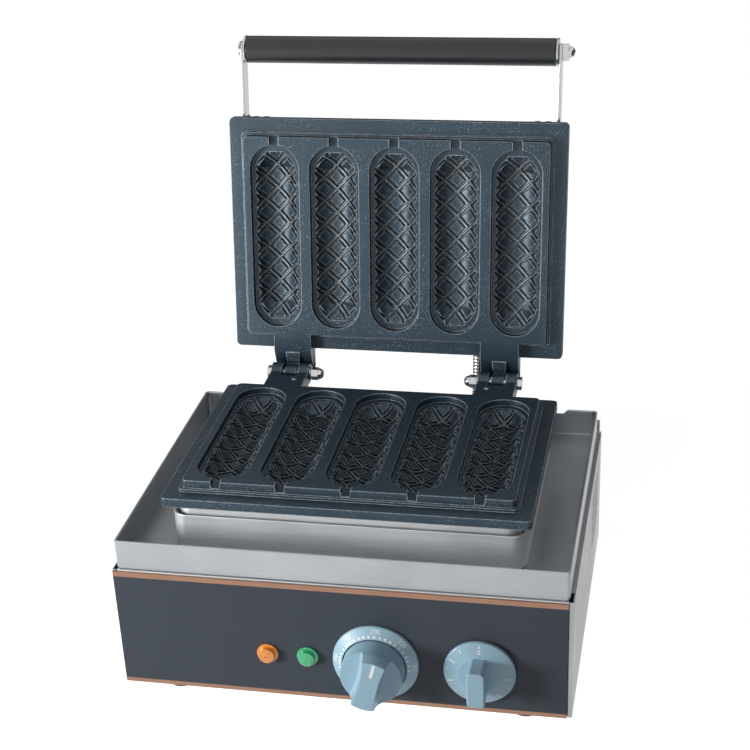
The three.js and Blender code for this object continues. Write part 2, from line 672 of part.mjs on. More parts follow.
// The solid that cuts a recess: its underside carries the ridges, grooves and pads in facets.
function recessCutter() {
  const step = LATTICE_PITCH / LATTICE_STEPS;
  const columns = Math.round(RECESS_HALF_WIDTH / step);
  const rows = Math.round(RECESS_HALF_LENGTH / step);
  const placeOf = (number, last, edge) =>
    Math.abs(number) === last ? Math.sign(number) * edge : number * step;
  const top = PANEL_RISE + OVERRUN;
  const positions = [];
  const index = [];
  const stride = 2 * rows + 1;
  const count = (2 * columns + 1) * stride;
  for (let column = -columns; column <= columns; column += 1) {
    for (let row = -rows; row <= rows; row += 1) {
      const x = placeOf(column, columns, RECESS_HALF_WIDTH);
      const y = placeOf(row, rows, RECESS_HALF_LENGTH);
      const groove = latticeKind(column, row) === "groove" ? GROOVE_DEPTH : 0;
      positions.push(x, y, PANEL_RISE - troughDepth(x, y) - groove);
    }
  }
  for (let corner = 0; corner < count; corner += 1) {
    positions.push(positions[3 * corner], positions[3 * corner + 1], top);
  }
  const at = (column, row) => (column + columns) * stride + row + rows;
  const quad = (a, b, c, d) => index.push(a, b, c, a, c, d);
  for (let column = -columns; column < columns; column += 1) {
    for (let row = -rows; row < rows; row += 1) {
      const corners = [
        [column, row],
        [column, row + 1],
        [column + 1, row + 1],
        [column + 1, row],
      ];
      const kinds = corners.map(([i, j]) => latticeKind(i, j));
      const places = corners.map(([i, j]) => at(i, j));
      const highFirst = kinds[0] !== "groove";
      const hasPad = kinds.includes("pad");
      const shift = highFirst === hasPad ? 1 : 0;
      const turn = (start) => places[(start + shift) % places.length];
      quad(turn(0), turn(1), turn(2), turn(3));
      quad(places[3] + count, places[2] + count, places[1] + count, places[0] + count);
    }
  }
  for (let column = -columns; column < columns; column += 1) {
    const [front, back] = [at(column, -rows), at(column, rows)];
    quad(front, front + stride, front + stride + count, front + count);
    quad(back + stride, back, back + count, back + stride + count);
  }
  for (let row = -rows; row < rows; row += 1) {
    const [left, right] = [at(-columns, row), at(columns, row)];
    quad(left + 1, left, left + count, left + 1 + count);
    quad(right, right + 1, right + 1 + count, right + count);
  }
  const relief = new THREE.BufferGeometry();
  relief.setAttribute("position", new THREE.Float32BufferAttribute(positions, 3));
  relief.setIndex(index);
  const bounds = upright(recessOutline(), PANEL_RISE - RECESS_DEPTH - 2 * GROOVE_DEPTH, top);
  return common(relief, bounds);
}

function cavityCutters() {
  const stepFloor = PANEL_RISE - STEP_DEPTH;
  const top = PANEL_RISE + OVERRUN;
  const recess = recessCutter();
  const slotReach = PLATE_DEPTH / 2 - PLINTH_MARGIN_Y + OVERRUN;
  const cutters = [];
  for (let number = 0; number < CAVITY_COUNT; number += 1) {
    const x = (number - (CAVITY_COUNT - 1) / 2) * CAVITY_PITCH;
    const stadium = roundedRectangle(STEP_WIDTH, STEP_LENGTH, STEP_WIDTH / 2);
    cutters.push(upright(stadium, stepFloor, top, CORNER_SEGMENTS).translate(x, 0, 0));
    cutters.push(recess.clone().translate(x, 0, 0));
    cutters.push(
      block(
        [x - STICK_SLOT_WIDTH / 2, x + STICK_SLOT_WIDTH / 2],
        [-slotReach, -(STEP_LENGTH - STEP_WIDTH) / 2],
        [stepFloor, top],
      ),
    );
  }
  return cutters;
}

// A casting without its hinge lugs
function plateBlank() {
  const [width, depth] = [PLATE_WIDTH, PLATE_DEPTH];
  const flange = upright(roundedRectangle(width, depth, PLATE_CORNER), -FLANGE_THICKNESS, 0);
  const [plinthX, plinthY] = [width - 2 * PLINTH_MARGIN_X, depth - 2 * PLINTH_MARGIN_Y];
  const plinth = upright(roundedRectangle(plinthX, plinthY, PANEL_CORNER), 0, PLINTH_RISE);
  const panel = upright(
    roundedRectangle(plinthX - 2 * PANEL_STEP, plinthY - 2 * PANEL_STEP, PANEL_CORNER),
    PLINTH_RISE,
    PANEL_RISE,
  );
  const backBlock = upright(
    roundedRectangle(
      width - 2 * BACK_BLOCK_MARGIN,
      depth - 2 * BACK_BLOCK_MARGIN,
      PANEL_CORNER,
    ),
    -FLANGE_THICKNESS - BACK_BLOCK_THICKNESS,
    -FLANGE_THICKNESS,
  );
  return join(flange, plinth, panel, backBlock);
}

// Lug outline in Y and Z that ends in a barrel round the axis
function barrelPoints(axisY, axisZ, radius) {
  const points = [];
  for (let step = 0; step < ROUND_SIDES; step += 1) {
    const angle = (2 * Math.PI * step) / ROUND_SIDES;
    points.push([axisY + radius * Math.cos(angle), axisZ + radius * Math.sin(angle)]);
  }
  return points;
}

const PANEL_HALF_DEPTH = PLATE_DEPTH / 2 - PLINTH_MARGIN_Y - PANEL_STEP;
const ELEMENT_TOP_Z = -FLANGE_THICKNESS - BACK_BLOCK_THICKNESS - GAP;

function addLowerPlate() {
  const [axisY, axisZ] = [AXIS_FROM_CENTRE, LOWER_AXIS_RISE];
  const pieces = [];
  const cuts = [];
  for (const side of [-1, 1]) {
    const centre = side * HINGE_CENTRE_X;
    const [left, right] = [centre - LUG_HALF_WIDTH, centre + LUG_HALF_WIDTH];
    const lugEnd = axisY;
    const outline = [
      [PANEL_HALF_DEPTH - OVERRUN, PANEL_RISE - LUG_THICKNESS],
      [lugEnd, axisZ - BARREL_RADIUS],
      [lugEnd, axisZ],
      [lugEnd - BARREL_RADIUS, PANEL_RISE],
      [PANEL_HALF_DEPTH - OVERRUN, PANEL_RISE],
    ];
    pieces.push(sideways(outline, left, right));
    pieces.push(sideways(barrelPoints(axisY, axisZ, BARREL_RADIUS), left, right));
    const slotHalf = TONGUE_WIDTH / 2 + TONGUE_PLAY;
    cuts.push(
      block(
        [centre - slotHalf, centre + slotHalf],
        [axisY - EAR_SLOT_REACH, axisY + BARREL_RADIUS + OVERRUN],
        [axisZ - BARREL_RADIUS - LUG_THICKNESS, PANEL_RISE + BARREL_RADIUS],
      ),
    );
    cuts.push(barX(BOLT_RADIUS + BOLT_PLAY, left - OVERRUN, right + OVERRUN, axisY, axisZ));
    cuts.push(
      barZ(
        STOP_SCREW_RADIUS + BOLT_PLAY,
        PANEL_RISE - STOP_SCREW_DEPTH - GAP,
        PANEL_RISE + OVERRUN,
        stopScrewX(side),
        axisY - STOP_SCREW_FROM_AXIS,
      ),
    );
  }
  const casting = cut(join(plateBlank(), ...pieces), ...cuts, ...cavityCutters());
  place(base, "lower_plate", casting, coatedCasting).position.set(0, PLATE_CENTRE_Y, PLATE_FACE_Z);
}

const stopScrewX = (side) => side * (HINGE_CENTRE_X - TONGUE_WIDTH / 2 - TONGUE_PLAY);

function addStopScrews() {
  const top = PANEL_RISE + STOP_SCREW_RISE;
  for (const [name, side] of SIDES) {
    const screw = turned(
      [
        [0, PANEL_RISE - STOP_SCREW_DEPTH],
        [STOP_SCREW_RADIUS, PANEL_RISE - STOP_SCREW_DEPTH],
        [STOP_SCREW_RADIUS, top - STOP_SCREW_RISE / 2],
        [STOP_SCREW_RADIUS / 2, top],
        [0, top],
      ],
      SMALL_SIDES,
    ).rotateX(Math.PI / 2);
    const y = HINGE_Y - STOP_SCREW_FROM_AXIS;
    place(base, `${name}_stop_screw`, screw, brightSteel).position.set(
      stopScrewX(side),
      y,
      PLATE_FACE_Z,
    );
  }
}

function addUpperPlate() {
  const [axisY, axisZ] = [AXIS_FROM_CENTRE, UPPER_AXIS_RISE];
  const pieces = [];
  const holes = [];
  for (const side of [-1, 1]) {
    const centre = side * HINGE_CENTRE_X;
    const outline = [
      [PANEL_HALF_DEPTH - OVERRUN, -FLANGE_THICKNESS],
      [axisY - LUG_SLOPE_END, -FLANGE_THICKNESS],
      [axisY - LUG_SLOPE_END, PANEL_RISE - LUG_SLOPE_RISE],
      [axisY - LUG_FACE_END, PANEL_RISE],
      [PANEL_HALF_DEPTH - OVERRUN, PANEL_RISE],
    ];
    pieces.push(sideways(outline, centre - LUG_HALF_WIDTH, centre + LUG_HALF_WIDTH));
    const [left, right] = [centre - TONGUE_WIDTH / 2, centre + TONGUE_WIDTH / 2];
    pieces.push(sideways(barrelPoints(axisY, axisZ, BARREL_RADIUS), left, right));
    pieces.push(
      block(
        [left, right],
        [axisY - TONGUE_REACH, axisY + BARREL_RADIUS / 2],
        [-FLANGE_THICKNESS, PANEL_RISE + TONGUE_PROUD],
      ),
    );
    holes.push(barX(BOLT_RADIUS + BOLT_PLAY, left - OVERRUN, right + OVERRUN, axisY, axisZ));
  }
  const casting = cut(join(plateBlank(), ...pieces), ...holes, ...cavityCutters());
  casting.rotateY(Math.PI);
  const mesh = place(lid, "upper_plate", casting, coatedCasting);
  mesh.position.set(0, -AXIS_FROM_CENTRE, UPPER_AXIS_RISE);
}

function addHinges() {
  const holeReach = LUG_HALF_WIDTH + GAP;
  for (const [name, side] of SIDES) {
    const hinge = new THREE.Group();
    hinge.position.set(side * HINGE_CENTRE_X, HINGE_Y, HINGE_Z);
    hinge.rotation.z = (-side * Math.PI) / 2;
    base.add(hinge);
    const threadEnd = -(holeReach + WASHER_THICKNESS + NUT_HEX);
    const shank = new THREE.CylinderGeometry(
      BOLT_RADIUS,
      BOLT_RADIUS,
      holeReach + OVERRUN - threadEnd,
      SMALL_SIDES,
    ).translate(0, (holeReach + OVERRUN + threadEnd) / 2, 0);
    const head = new THREE.CylinderGeometry(
      acrossFlats(BOLT_HEAD_FLATS),
      acrossFlats(BOLT_HEAD_FLATS),
      BOLT_HEAD,
      HEX_SIDES,
    ).translate(0, holeReach + BOLT_HEAD / 2, 0);
    place(hinge, `${name}_hinge_bolt`, join(shank, head), brightSteel);
    const washer = turned(
      [
        [BOLT_RADIUS + GAP, -holeReach - WASHER_THICKNESS],
        [WASHER_RADIUS, -holeReach - WASHER_THICKNESS],
        [WASHER_RADIUS, -holeReach],
        [BOLT_RADIUS + GAP, -holeReach],
        [BOLT_RADIUS + GAP, -holeReach - WASHER_THICKNESS],
      ],
      ROUND_SIDES,
    );
    place(hinge, `${name}_hinge_washer`, washer, brightSteel);
    const nutFace = -(holeReach + WASHER_THICKNESS + GAP);
    const nut = acornNut(BOLT_RADIUS, NUT_HEX, NUT_DOME_RADIUS, BOLT_HEAD_FLATS);
    place(hinge, `${name}_hinge_nut`, nut.translate(0, nutFace, 0), brightSteel);
  }
}

// A domed nut whose seat is at y = 0 and whose dome points towards -Y
function acornNut(threadRadius, hexHeight, domeRadius, flats) {
  const hex = new THREE.CylinderGeometry(
    acrossFlats(flats),
    acrossFlats(flats),
    hexHeight,
    HEX_SIDES,
  ).translate(0, -hexHeight / 2, 0);
  const dome = [[0, -hexHeight - domeRadius]];
  for (let step = 1; step <= CORNER_SEGMENTS; step += 1) {
    const angle = (Math.PI / 2) * (step / CORNER_SEGMENTS);
    dome.push([domeRadius * Math.sin(angle), -hexHeight - domeRadius * Math.cos(angle)]);
  }
  dome.push([domeRadius, -hexHeight / 2], [0, -hexHeight / 2]);
  const bore = new THREE.CylinderGeometry(
    threadRadius + GAP,
    threadRadius + GAP,
    2 * hexHeight,
    SMALL_SIDES,
  );
  return cut(join(hex, turned(dome, SMALL_SIDES)), bore);
}

function addLidCover() {
  const width = 2 * COVER_HALF_WIDTH;
  const depth = COVER_REAR_Y - COVER_FRONT_Y;
  const hollow = upright(
    roundedRectangle(width - 2 * SHEET, depth - 2 * SHEET, COVER_CORNER - SHEET),
    COVER_BOTTOM_Z - OVERRUN,
    COVER_TOP_Z - SHEET,
  );
  const shell = upright(
    roundedRectangle(width, depth, COVER_CORNER),
    COVER_BOTTOM_Z,
    COVER_TOP_Z,
  );
  const conduitHole = barY(
    CONDUIT_COIL_RADIUS + CONDUIT_WIRE_RADIUS,
    depth / 2 - SHEET - OVERRUN,
    depth / 2 + OVERRUN,
    CONDUIT_X,
    CONDUIT_LID_Z,
  );
  const screwHoles = armScrewPlaces().map(([x]) =>
    barY(ARM_SCREW_SHANK + GAP, -depth / 2 - OVERRUN, -depth / 2 + SHEET + OVERRUN, x, GRIP_Z),
  );
  const cover = cut(shell, hollow, conduitHole, ...screwHoles);
  place(lid, "lid_cover", cover, stainless).position.y = (COVER_REAR_Y + COVER_FRONT_Y) / 2;
}

// The two arms' screws, as x positions with their names
function armScrewPlaces() {
  const inner = ARM_OUTER_X - ARM_FOOT;
  const places = [];
  for (const [name, side] of SIDES) {
    ["inner", "outer"].forEach((which, number) => {
      const x = inner + ARM_FOOT * ARM_SCREW_SHARES[number];
      places.push([side * x, `${name}_arm_screw_${which}`]);
    });
  }
  return places;
}

const ARM_SEAT_Y = COVER_FRONT_Y - GAP;

function addHandle() {
  for (const [name, side] of SIDES) {
    const strap = block(
      [ARM_INNER_X, ARM_OUTER_X],
      [GRIP_Y, ARM_SEAT_Y],
      [GRIP_Z - ARM_WIDTH / 2, GRIP_Z + ARM_WIDTH / 2],
    );
    const end = barX(ARM_WIDTH / 2, ARM_INNER_X, ARM_OUTER_X, GRIP_Y, GRIP_Z, ROUND_SIDES);
    const foot = block(
      [ARM_OUTER_X - ARM_FOOT, ARM_OUTER_X],
      [ARM_SEAT_Y - ARM_THICKNESS, ARM_SEAT_Y],
      [GRIP_Z - ARM_WIDTH / 2, GRIP_Z + ARM_WIDTH / 2],
    );
    const rodHole = barX(
      ROD_RADIUS + GAP,
      ARM_INNER_X - OVERRUN,
      ARM_OUTER_X + OVERRUN,
      GRIP_Y,
      GRIP_Z,
    );
    const screwHoles = armScrewPlaces()
      .filter(([x]) => x > 0)
      .map(([x]) =>
        barY(
          ARM_SCREW_SHANK + GAP,
          ARM_SEAT_Y - ARM_THICKNESS - OVERRUN,
          ARM_SEAT_Y + OVERRUN,
          x,
          GRIP_Z,
        ),
      );
    const arm = cut(join(strap, end, foot), rodHole, ...screwHoles);
    place(lid, `${name}_handle_arm`, arm, stainless).scale.x = side;
  }
  for (const [x, name] of armScrewPlaces()) {
    const headBack = ARM_SEAT_Y - ARM_THICKNESS - GAP;
    const screw = turned(
      [
        [0, ARM_SCREW_REACH + ARM_THICKNESS],
        [ARM_SCREW_SHANK, ARM_SCREW_REACH + ARM_THICKNESS],
        [ARM_SCREW_SHANK, 0],
        [ARM_SCREW_RADIUS, 0],
        [ARM_SCREW_RADIUS, -ARM_SCREW_HEAD / 2],
        [ARM_SCREW_RADIUS / 2, -ARM_SCREW_HEAD],
        [0, -ARM_SCREW_HEAD],
      ].reverse(),
      SMALL_SIDES,
    );
    place(lid, name, screw, brightSteel).position.set(x, headBack, GRIP_Z);
  }
  addGrip();
}

function addGrip() {
  const bore = barX(
    ROD_RADIUS + GAP,
    -GRIP_HALF_LENGTH - OVERRUN,
    GRIP_HALF_LENGTH + OVERRUN,
    0,
    0,
  );
  const bar = barX(GRIP_RADIUS, -GRIP_HALF_LENGTH, GRIP_HALF_LENGTH, 0, 0, FINE_SIDES);
  place(lid, "handle_grip", cut(bar, bore), gripPlastic).position.set(0, GRIP_Y, GRIP_Z);
  const capInner = GRIP_HALF_LENGTH + GAP;
  for (const [name, side] of SIDES) {
    const cap = cut(
      barX(GRIP_RADIUS + GRIP_CAP_LIP, capInner, capInner + GRIP_CAP, 0, 0, FINE_SIDES),
      barX(ROD_RADIUS + GAP, capInner - OVERRUN, capInner + GRIP_CAP + OVERRUN, 0, 0),
    );
    const mesh = place(lid, `${name}_grip_cap`, cap, stainless);
    mesh.position.set(0, GRIP_Y, GRIP_Z);
    mesh.scale.x = side;
  }
  const headFace = ARM_OUTER_X + GAP;
  const rod = join(
    barX(ROD_RADIUS, -headFace - OVERRUN, headFace + NUT_HEX - GAP, 0, 0),
    turned(
      [
        [0, 0],
        [ROD_HEAD_RADIUS, 0],
        [ROD_HEAD_RADIUS * ROD_HEAD_CROWN_SHARES[0], ROD_HEAD * ROD_HEAD_CROWN_SHARES[1]],
        [0, ROD_HEAD],
      ],
      ROUND_SIDES,
    )
      .rotateZ(Math.PI / 2)
      .translate(-headFace, 0, 0),
  );
  place(lid, "handle_rod", rod, brightSteel).position.set(0, GRIP_Y, GRIP_Z);
  const nut = acornNut(ROD_RADIUS, NUT_HEX, ROD_RADIUS + 3 * GAP, BOLT_HEAD_FLATS + ROD_HEAD);
  nut.rotateZ(Math.PI / 2).translate(headFace, 0, 0);
  place(lid, "handle_nut", nut, brightSteel).position.set(0, GRIP_Y, GRIP_Z);
}

// The element's route, as x and y places in the plate's frame
function elementCurve() {
  const [spanX, spanY, bend] = [ELEMENT_SPAN_X, ELEMENT_SPAN_Y, ELEMENT_BEND];
  const half = [
    [ELEMENT_TAIL_X, ELEMENT_TAIL_Y],
    [ELEMENT_TAIL_X, spanY - bend],
    [ELEMENT_TAIL_X + bend, spanY - 2 * bend],
    [spanX - bend, spanY - 2 * bend],
    [spanX, 0],
    [spanX, bend - spanY],
    [spanX - bend, -spanY],
    [bend, -spanY],
  ];
  const other = half.map(([x, y]) => [-x, y]).reverse();
  const points = [...half, ...other].map(([x, y]) => new THREE.Vector3(x, y, 0));
  return new THREE.CatmullRomCurve3(points);
}

function elementGeometry() {
  const section = new THREE.Shape();
  section.absarc(0, 0, ELEMENT_RADIUS, 0, 2 * Math.PI);
  const options = {
    steps: ELEMENT_STEPS,
    curveSegments: ELEMENT_HALF_SIDES,
    bevelEnabled: false,
    extrudePath: elementCurve(),
  };
  const tube = new THREE.ExtrudeGeometry(section, options);
  return geometryOf(solidOf(tube)).translate(0, 0, ELEMENT_TOP_Z - ELEMENT_RADIUS);
}

function addElements() {
  const lower = place(base, "lower_heating_element", elementGeometry(), elementSheath);
  lower.position.set(0, PLATE_CENTRE_Y, PLATE_FACE_Z);
  const upper = place(lid, "upper_heating_element", elementGeometry(), elementSheath);
  upper.rotation.y = Math.PI;
  upper.position.set(0, -AXIS_FROM_CENTRE, UPPER_AXIS_RISE);
}

// Centre line of the conduit, from the lid's collar to the heater box's collar
function conduitPath() {
  const straight = 2 * (CONDUIT_COIL_RADIUS + CONDUIT_WIRE_RADIUS);
  const lidFace = COVER_REAR_Y + GAP + COLLAR_LENGTH + GAP;
  const start = lidPoint(CONDUIT_X, lidFace, CONDUIT_LID_Z);
  const startEnd = lidPoint(CONDUIT_X, lidFace + straight, CONDUIT_LID_Z);
  const startLead = lidPoint(CONDUIT_X, lidFace + straight + CONDUIT_BEND, CONDUIT_LID_Z);
  const boxFace = BOX_REAR_Y + GAP + COLLAR_LENGTH + GAP;
  const end = new THREE.Vector3(CONDUIT_X, boxFace, CONDUIT_BOX_Z);
  const endStart = new THREE.Vector3(CONDUIT_X, boxFace + straight, CONDUIT_BOX_Z);
  const endLead = new THREE.Vector3(CONDUIT_X, boxFace + straight + CONDUIT_BEND, CONDUIT_BOX_Z);
  const path = new THREE.CurvePath();
  path.add(new THREE.LineCurve3(start, startEnd));
  path.add(new THREE.CubicBezierCurve3(startEnd, startLead, endLead, endStart));
  path.add(new THREE.LineCurve3(endStart, end));
  return path;
}

// One unbroken wire wound round the path
function coilGeometry(path) {
  const length = path.getLength();
  const side = new THREE.Vector3(1, 0, 0);
  const centreAt = (share) => path.getPointAt(Math.min(Math.max(share, 0), 1));
  const ringPoint = (distance) => {
    const share = distance / length;
    const tangent = path.getTangentAt(Math.min(Math.max(share, 0), 1));
    const up = new THREE.Vector3().crossVectors(side, tangent).normalize();
    const angle = (2 * Math.PI * distance) / CONDUIT_PITCH;
    const outward = side.clone().multiplyScalar(Math.cos(angle));
    outward.addScaledVector(up, Math.sin(angle));
    return { centre: centreAt(share).addScaledVector(outward, CONDUIT_COIL_RADIUS), outward };
  };
  const margin = CONDUIT_WIRE_RADIUS;
  const turns = Math.floor((length - 2 * margin) / CONDUIT_PITCH);
  const steps = turns * CONDUIT_TURN_STEPS;
  const start = (length - turns * CONDUIT_PITCH) / 2;
  const centres = [];
  const outwards = [];
  for (let step = 0; step <= steps; step += 1) {
    const { centre, outward } = ringPoint(start + (turns * CONDUIT_PITCH * step) / steps);
    centres.push(centre);
    outwards.push(outward);
  }
  reportCoilGap(centres);
  const positions = [];
  for (let step = 0; step <= steps; step += 1) {
    const before = centres[Math.max(step - 1, 0)];
    const after = centres[Math.min(step + 1, steps)];
    const along = new THREE.Vector3().subVectors(after, before).normalize();
    const across = new THREE.Vector3().crossVectors(along, outwards[step]).normalize();
    const outward = new THREE.Vector3().crossVectors(across, along);
    for (let corner = 0; corner < CONDUIT_WIRE_SIDES; corner += 1) {
      const angle = (2 * Math.PI * corner) / CONDUIT_WIRE_SIDES;
      const point = centres[step].clone();
      point.addScaledVector(outward, CONDUIT_WIRE_RADIUS * Math.cos(angle));
      point.addScaledVector(across, CONDUIT_WIRE_RADIUS * Math.sin(angle));
      positions.push(point.x, point.y, point.z);
    }
  }
  const index = [];
  for (let step = 0; step < steps; step += 1) {
    for (let corner = 0; corner < CONDUIT_WIRE_SIDES; corner += 1) {
      const next = (corner + 1) % CONDUIT_WIRE_SIDES;
      const [low, high] = [step * CONDUIT_WIRE_SIDES, (step + 1) * CONDUIT_WIRE_SIDES];
      index.push(low + corner, high + next, high + corner);
      index.push(low + corner, low + next, high + next);
    }
  }
  const last = steps * CONDUIT_WIRE_SIDES;
  for (let corner = 1; corner < CONDUIT_WIRE_SIDES - 1; corner += 1) {
    index.push(0, corner + 1, corner);
    index.push(last, last + corner, last + corner + 1);
  }
  const wire = new THREE.BufferGeometry();
  wire.setAttribute("position", new THREE.Float32BufferAttribute(positions, 3));
  wire.setIndex(index);
  return geometryOf(solidOf(wire));
}

// The least clear distance between two turns of the wire
function reportCoilGap(centres) {
  let least = Infinity;
  centres.forEach((centre, step) => {
    for (let other = step + CONDUIT_TURN_STEPS / 2; other < centres.length; other += 1) {
      least = Math.min(least, centre.distanceTo(centres[other]));
    }
  });
  const gap = least - 2 * CONDUIT_WIRE_RADIUS;
  console.log(`conduit coil: least gap between turns ${gap.toFixed(2)} mm`);
}

function collarGeometry() {
  const hex = new THREE.CylinderGeometry(
    acrossFlats(COLLAR_FLATS),
    acrossFlats(COLLAR_FLATS),
    COLLAR_LENGTH,
    HEX_SIDES,
  );
  const bore = new THREE.CylinderGeometry(
    COLLAR_BORE_RADIUS,
    COLLAR_BORE_RADIUS,
    COLLAR_LENGTH + 2 * OVERRUN,
    SMALL_SIDES,
  );
  return cut(hex, bore);
}

function addConduit() {
  const lidCollarY = COVER_REAR_Y + GAP + COLLAR_LENGTH / 2;
  place(lid, "lid_conduit_collar", collarGeometry(), brightSteel).position.set(
    CONDUIT_X,
    lidCollarY,
    CONDUIT_LID_Z,
  );
  place(base, "box_conduit_collar", collarGeometry(), brightSteel).position.set(
    CONDUIT_X,
    BOX_REAR_Y + GAP + COLLAR_LENGTH / 2,
    CONDUIT_BOX_Z,
  );
  const path = conduitPath();
  place(base, "wire_conduit", coilGeometry(path), brightSteel);
  const section = new THREE.Shape();
  section.absarc(0, 0, CONDUIT_CORE_RADIUS, 0, 2 * Math.PI);
  const options = {
    steps: CONDUIT_CORE_STEPS,
    curveSegments: ELEMENT_HALF_SIDES,
    bevelEnabled: false,
    extrudePath: path,
  };
  const core = geometryOf(solidOf(new THREE.ExtrudeGeometry(section, options)));
  place(base, "conduit_wires", core, wireSleeve);
}

function knobBore(depthInKnob, front) {
  return barY(SHAFT_RADIUS + GAP, front, front + depthInKnob, 0, 0);
}

function addThermostat() {
  const dial = turned([
    [DIAL_BORE_RADIUS, GAP],
    [DIAL_RADIUS, GAP],
    [DIAL_RADIUS, GAP + DIAL_THICKNESS * (1 - DIAL_EDGE_SHARE)],
    [DIAL_RADIUS - DIAL_THICKNESS * DIAL_EDGE_SHARE, GAP + DIAL_THICKNESS],
    [DIAL_BORE_RADIUS, GAP + DIAL_THICKNESS],
    [DIAL_BORE_RADIUS, GAP],
  ]).rotateX(Math.PI);
  place(base, "thermostat_dial", dial, dialMetal).position.set(THERMOSTAT_X, 0, KNOB_Z);

  const knob = new THREE.Group();
  knob.position.set(THERMOSTAT_X, 0, KNOB_Z);
  knob.rotation.y = THERMOSTAT_REST_TURN;
  base.add(knob);
  const skirt = turned([
    [0, THERMOSTAT_KNOB_BACK - DIAL_THICKNESS],
    [THERMOSTAT_HUB_RADIUS, THERMOSTAT_KNOB_BACK - DIAL_THICKNESS],
    [THERMOSTAT_HUB_RADIUS, THERMOSTAT_KNOB_BACK],
    [THERMOSTAT_KNOB_RADIUS, THERMOSTAT_KNOB_BACK],
    [THERMOSTAT_KNOB_RADIUS, THERMOSTAT_KNOB_FACE],
    [0, THERMOSTAT_KNOB_FACE],
  ]).rotateX(Math.PI);
  const [endHalf, waistHalf] = [THERMOSTAT_GRIP_WIDTH / 2, THERMOSTAT_GRIP_WAIST / 2];
  const reach = THERMOSTAT_KNOB_RADIUS + OVERRUN;
  const outline = new THREE.Shape();
  outline.moveTo(-endHalf, -reach);
  outline.lineTo(endHalf, -reach);
  outline.quadraticCurveTo(2 * waistHalf - endHalf, 0, endHalf, reach);
  outline.lineTo(-endHalf, reach);
  outline.quadraticCurveTo(endHalf - 2 * waistHalf, 0, -endHalf, -reach);
  const bar = forward(outline, -THERMOSTAT_KNOB_FACE + OVERRUN, -THERMOSTAT_KNOB_FRONT);
  const bound = barY(
    THERMOSTAT_KNOB_RADIUS,
    -THERMOSTAT_KNOB_FRONT - OVERRUN,
    0,
    0,
    0,
    FINE_SIDES,
  );
  const bore = knobBore(
    SHAFT_IN_KNOB + OVERRUN,
    -(THERMOSTAT_KNOB_BACK + SHAFT_IN_KNOB - DIAL_THICKNESS) - GAP,
  );
  place(knob, "thermostat_knob", cut(join(skirt, common(bar, bound)), bore), knobPlastic);
  addShaft("thermostat", THERMOSTAT_X, -(THERMOSTAT_KNOB_BACK + SHAFT_IN_KNOB - DIAL_THICKNESS));
  addSwitchBody(
    "thermostat_body",
    THERMOSTAT_X,
    THERMOSTAT_BODY_WIDTH,
    THERMOSTAT_BODY_HEIGHT,
    THERMOSTAT_BODY_DEPTH,
  );
}

function addShaft(name, x, front) {
  const shaft = barY(SHAFT_RADIUS, front, PANEL_BACK_Y + SHAFT_BEHIND_PANEL, x, KNOB_Z, SMALL_SIDES);
  place(base, `${name}_shaft`, shaft, brightSteel);
}

function addSwitchBody(name, x, width, height, depth) {
  const front = PANEL_BACK_Y + GAP;
  const housing = block(
    [x - width / 2, x + width / 2],
    [front, front + depth],
    [KNOB_Z - height / 2, KNOB_Z + height / 2],
  );
  const socket = barY(
    SHAFT_RADIUS + SHAFT_PLAY,
    front - OVERRUN,
    PANEL_BACK_Y + SHAFT_BEHIND_PANEL + GAP,
    x,
    KNOB_Z,
  );
  place(base, name, cut(housing, socket), darkPlastic);
}

function addTimer() {
  const seat = GAP + GAP;
  const skirt = turned([
    [0, seat],
    [TIMER_SKIRT_RADIUS, seat],
    [TIMER_SKIRT_RADIUS, TIMER_SKIRT_EDGE],
    [TIMER_CONE_RADIUS, TIMER_CONE_FACE],
    [0, TIMER_CONE_FACE],
  ]).rotateX(Math.PI);
  const half = TIMER_GRIP_WIDTH / 2;
  const edge = TIMER_GRIP_EDGE;
  const deep = TIMER_CONE_RADIUS + OVERRUN;
  const section = new THREE.Shape([
    new THREE.Vector2(-half, 0),
    new THREE.Vector2(half, 0),
    new THREE.Vector2(half, TIMER_KNOB_FRONT - edge),
    new THREE.Vector2(half - edge, TIMER_KNOB_FRONT),
    new THREE.Vector2(edge - half, TIMER_KNOB_FRONT),
    new THREE.Vector2(-half, TIMER_KNOB_FRONT - edge),
  ]);
  const bar = upright(section, -deep, deep).rotateX(Math.PI);
  const bound = turned([
    [0, TIMER_SKIRT_EDGE],
    [TIMER_CONE_RADIUS, TIMER_SKIRT_EDGE],
    [TIMER_CONE_RADIUS, TIMER_KNOB_FRONT - edge],
    [TIMER_CONE_RADIUS - edge, TIMER_KNOB_FRONT],
    [0, TIMER_KNOB_FRONT],
  ]).rotateX(Math.PI);
  const bore = knobBore(SHAFT_IN_KNOB + OVERRUN, -(seat + SHAFT_IN_KNOB) - GAP);
  const knob = place(base, "timer_knob", cut(join(skirt, common(bar, bound)), bore), knobPlastic);
  knob.position.set(TIMER_X, 0, KNOB_Z);
  addShaft("timer", TIMER_X, -(seat + SHAFT_IN_KNOB));
  addSwitchBody("timer_body", TIMER_X, TIMER_BODY_SIZE, TIMER_BODY_SIZE, TIMER_BODY_DEPTH);
}

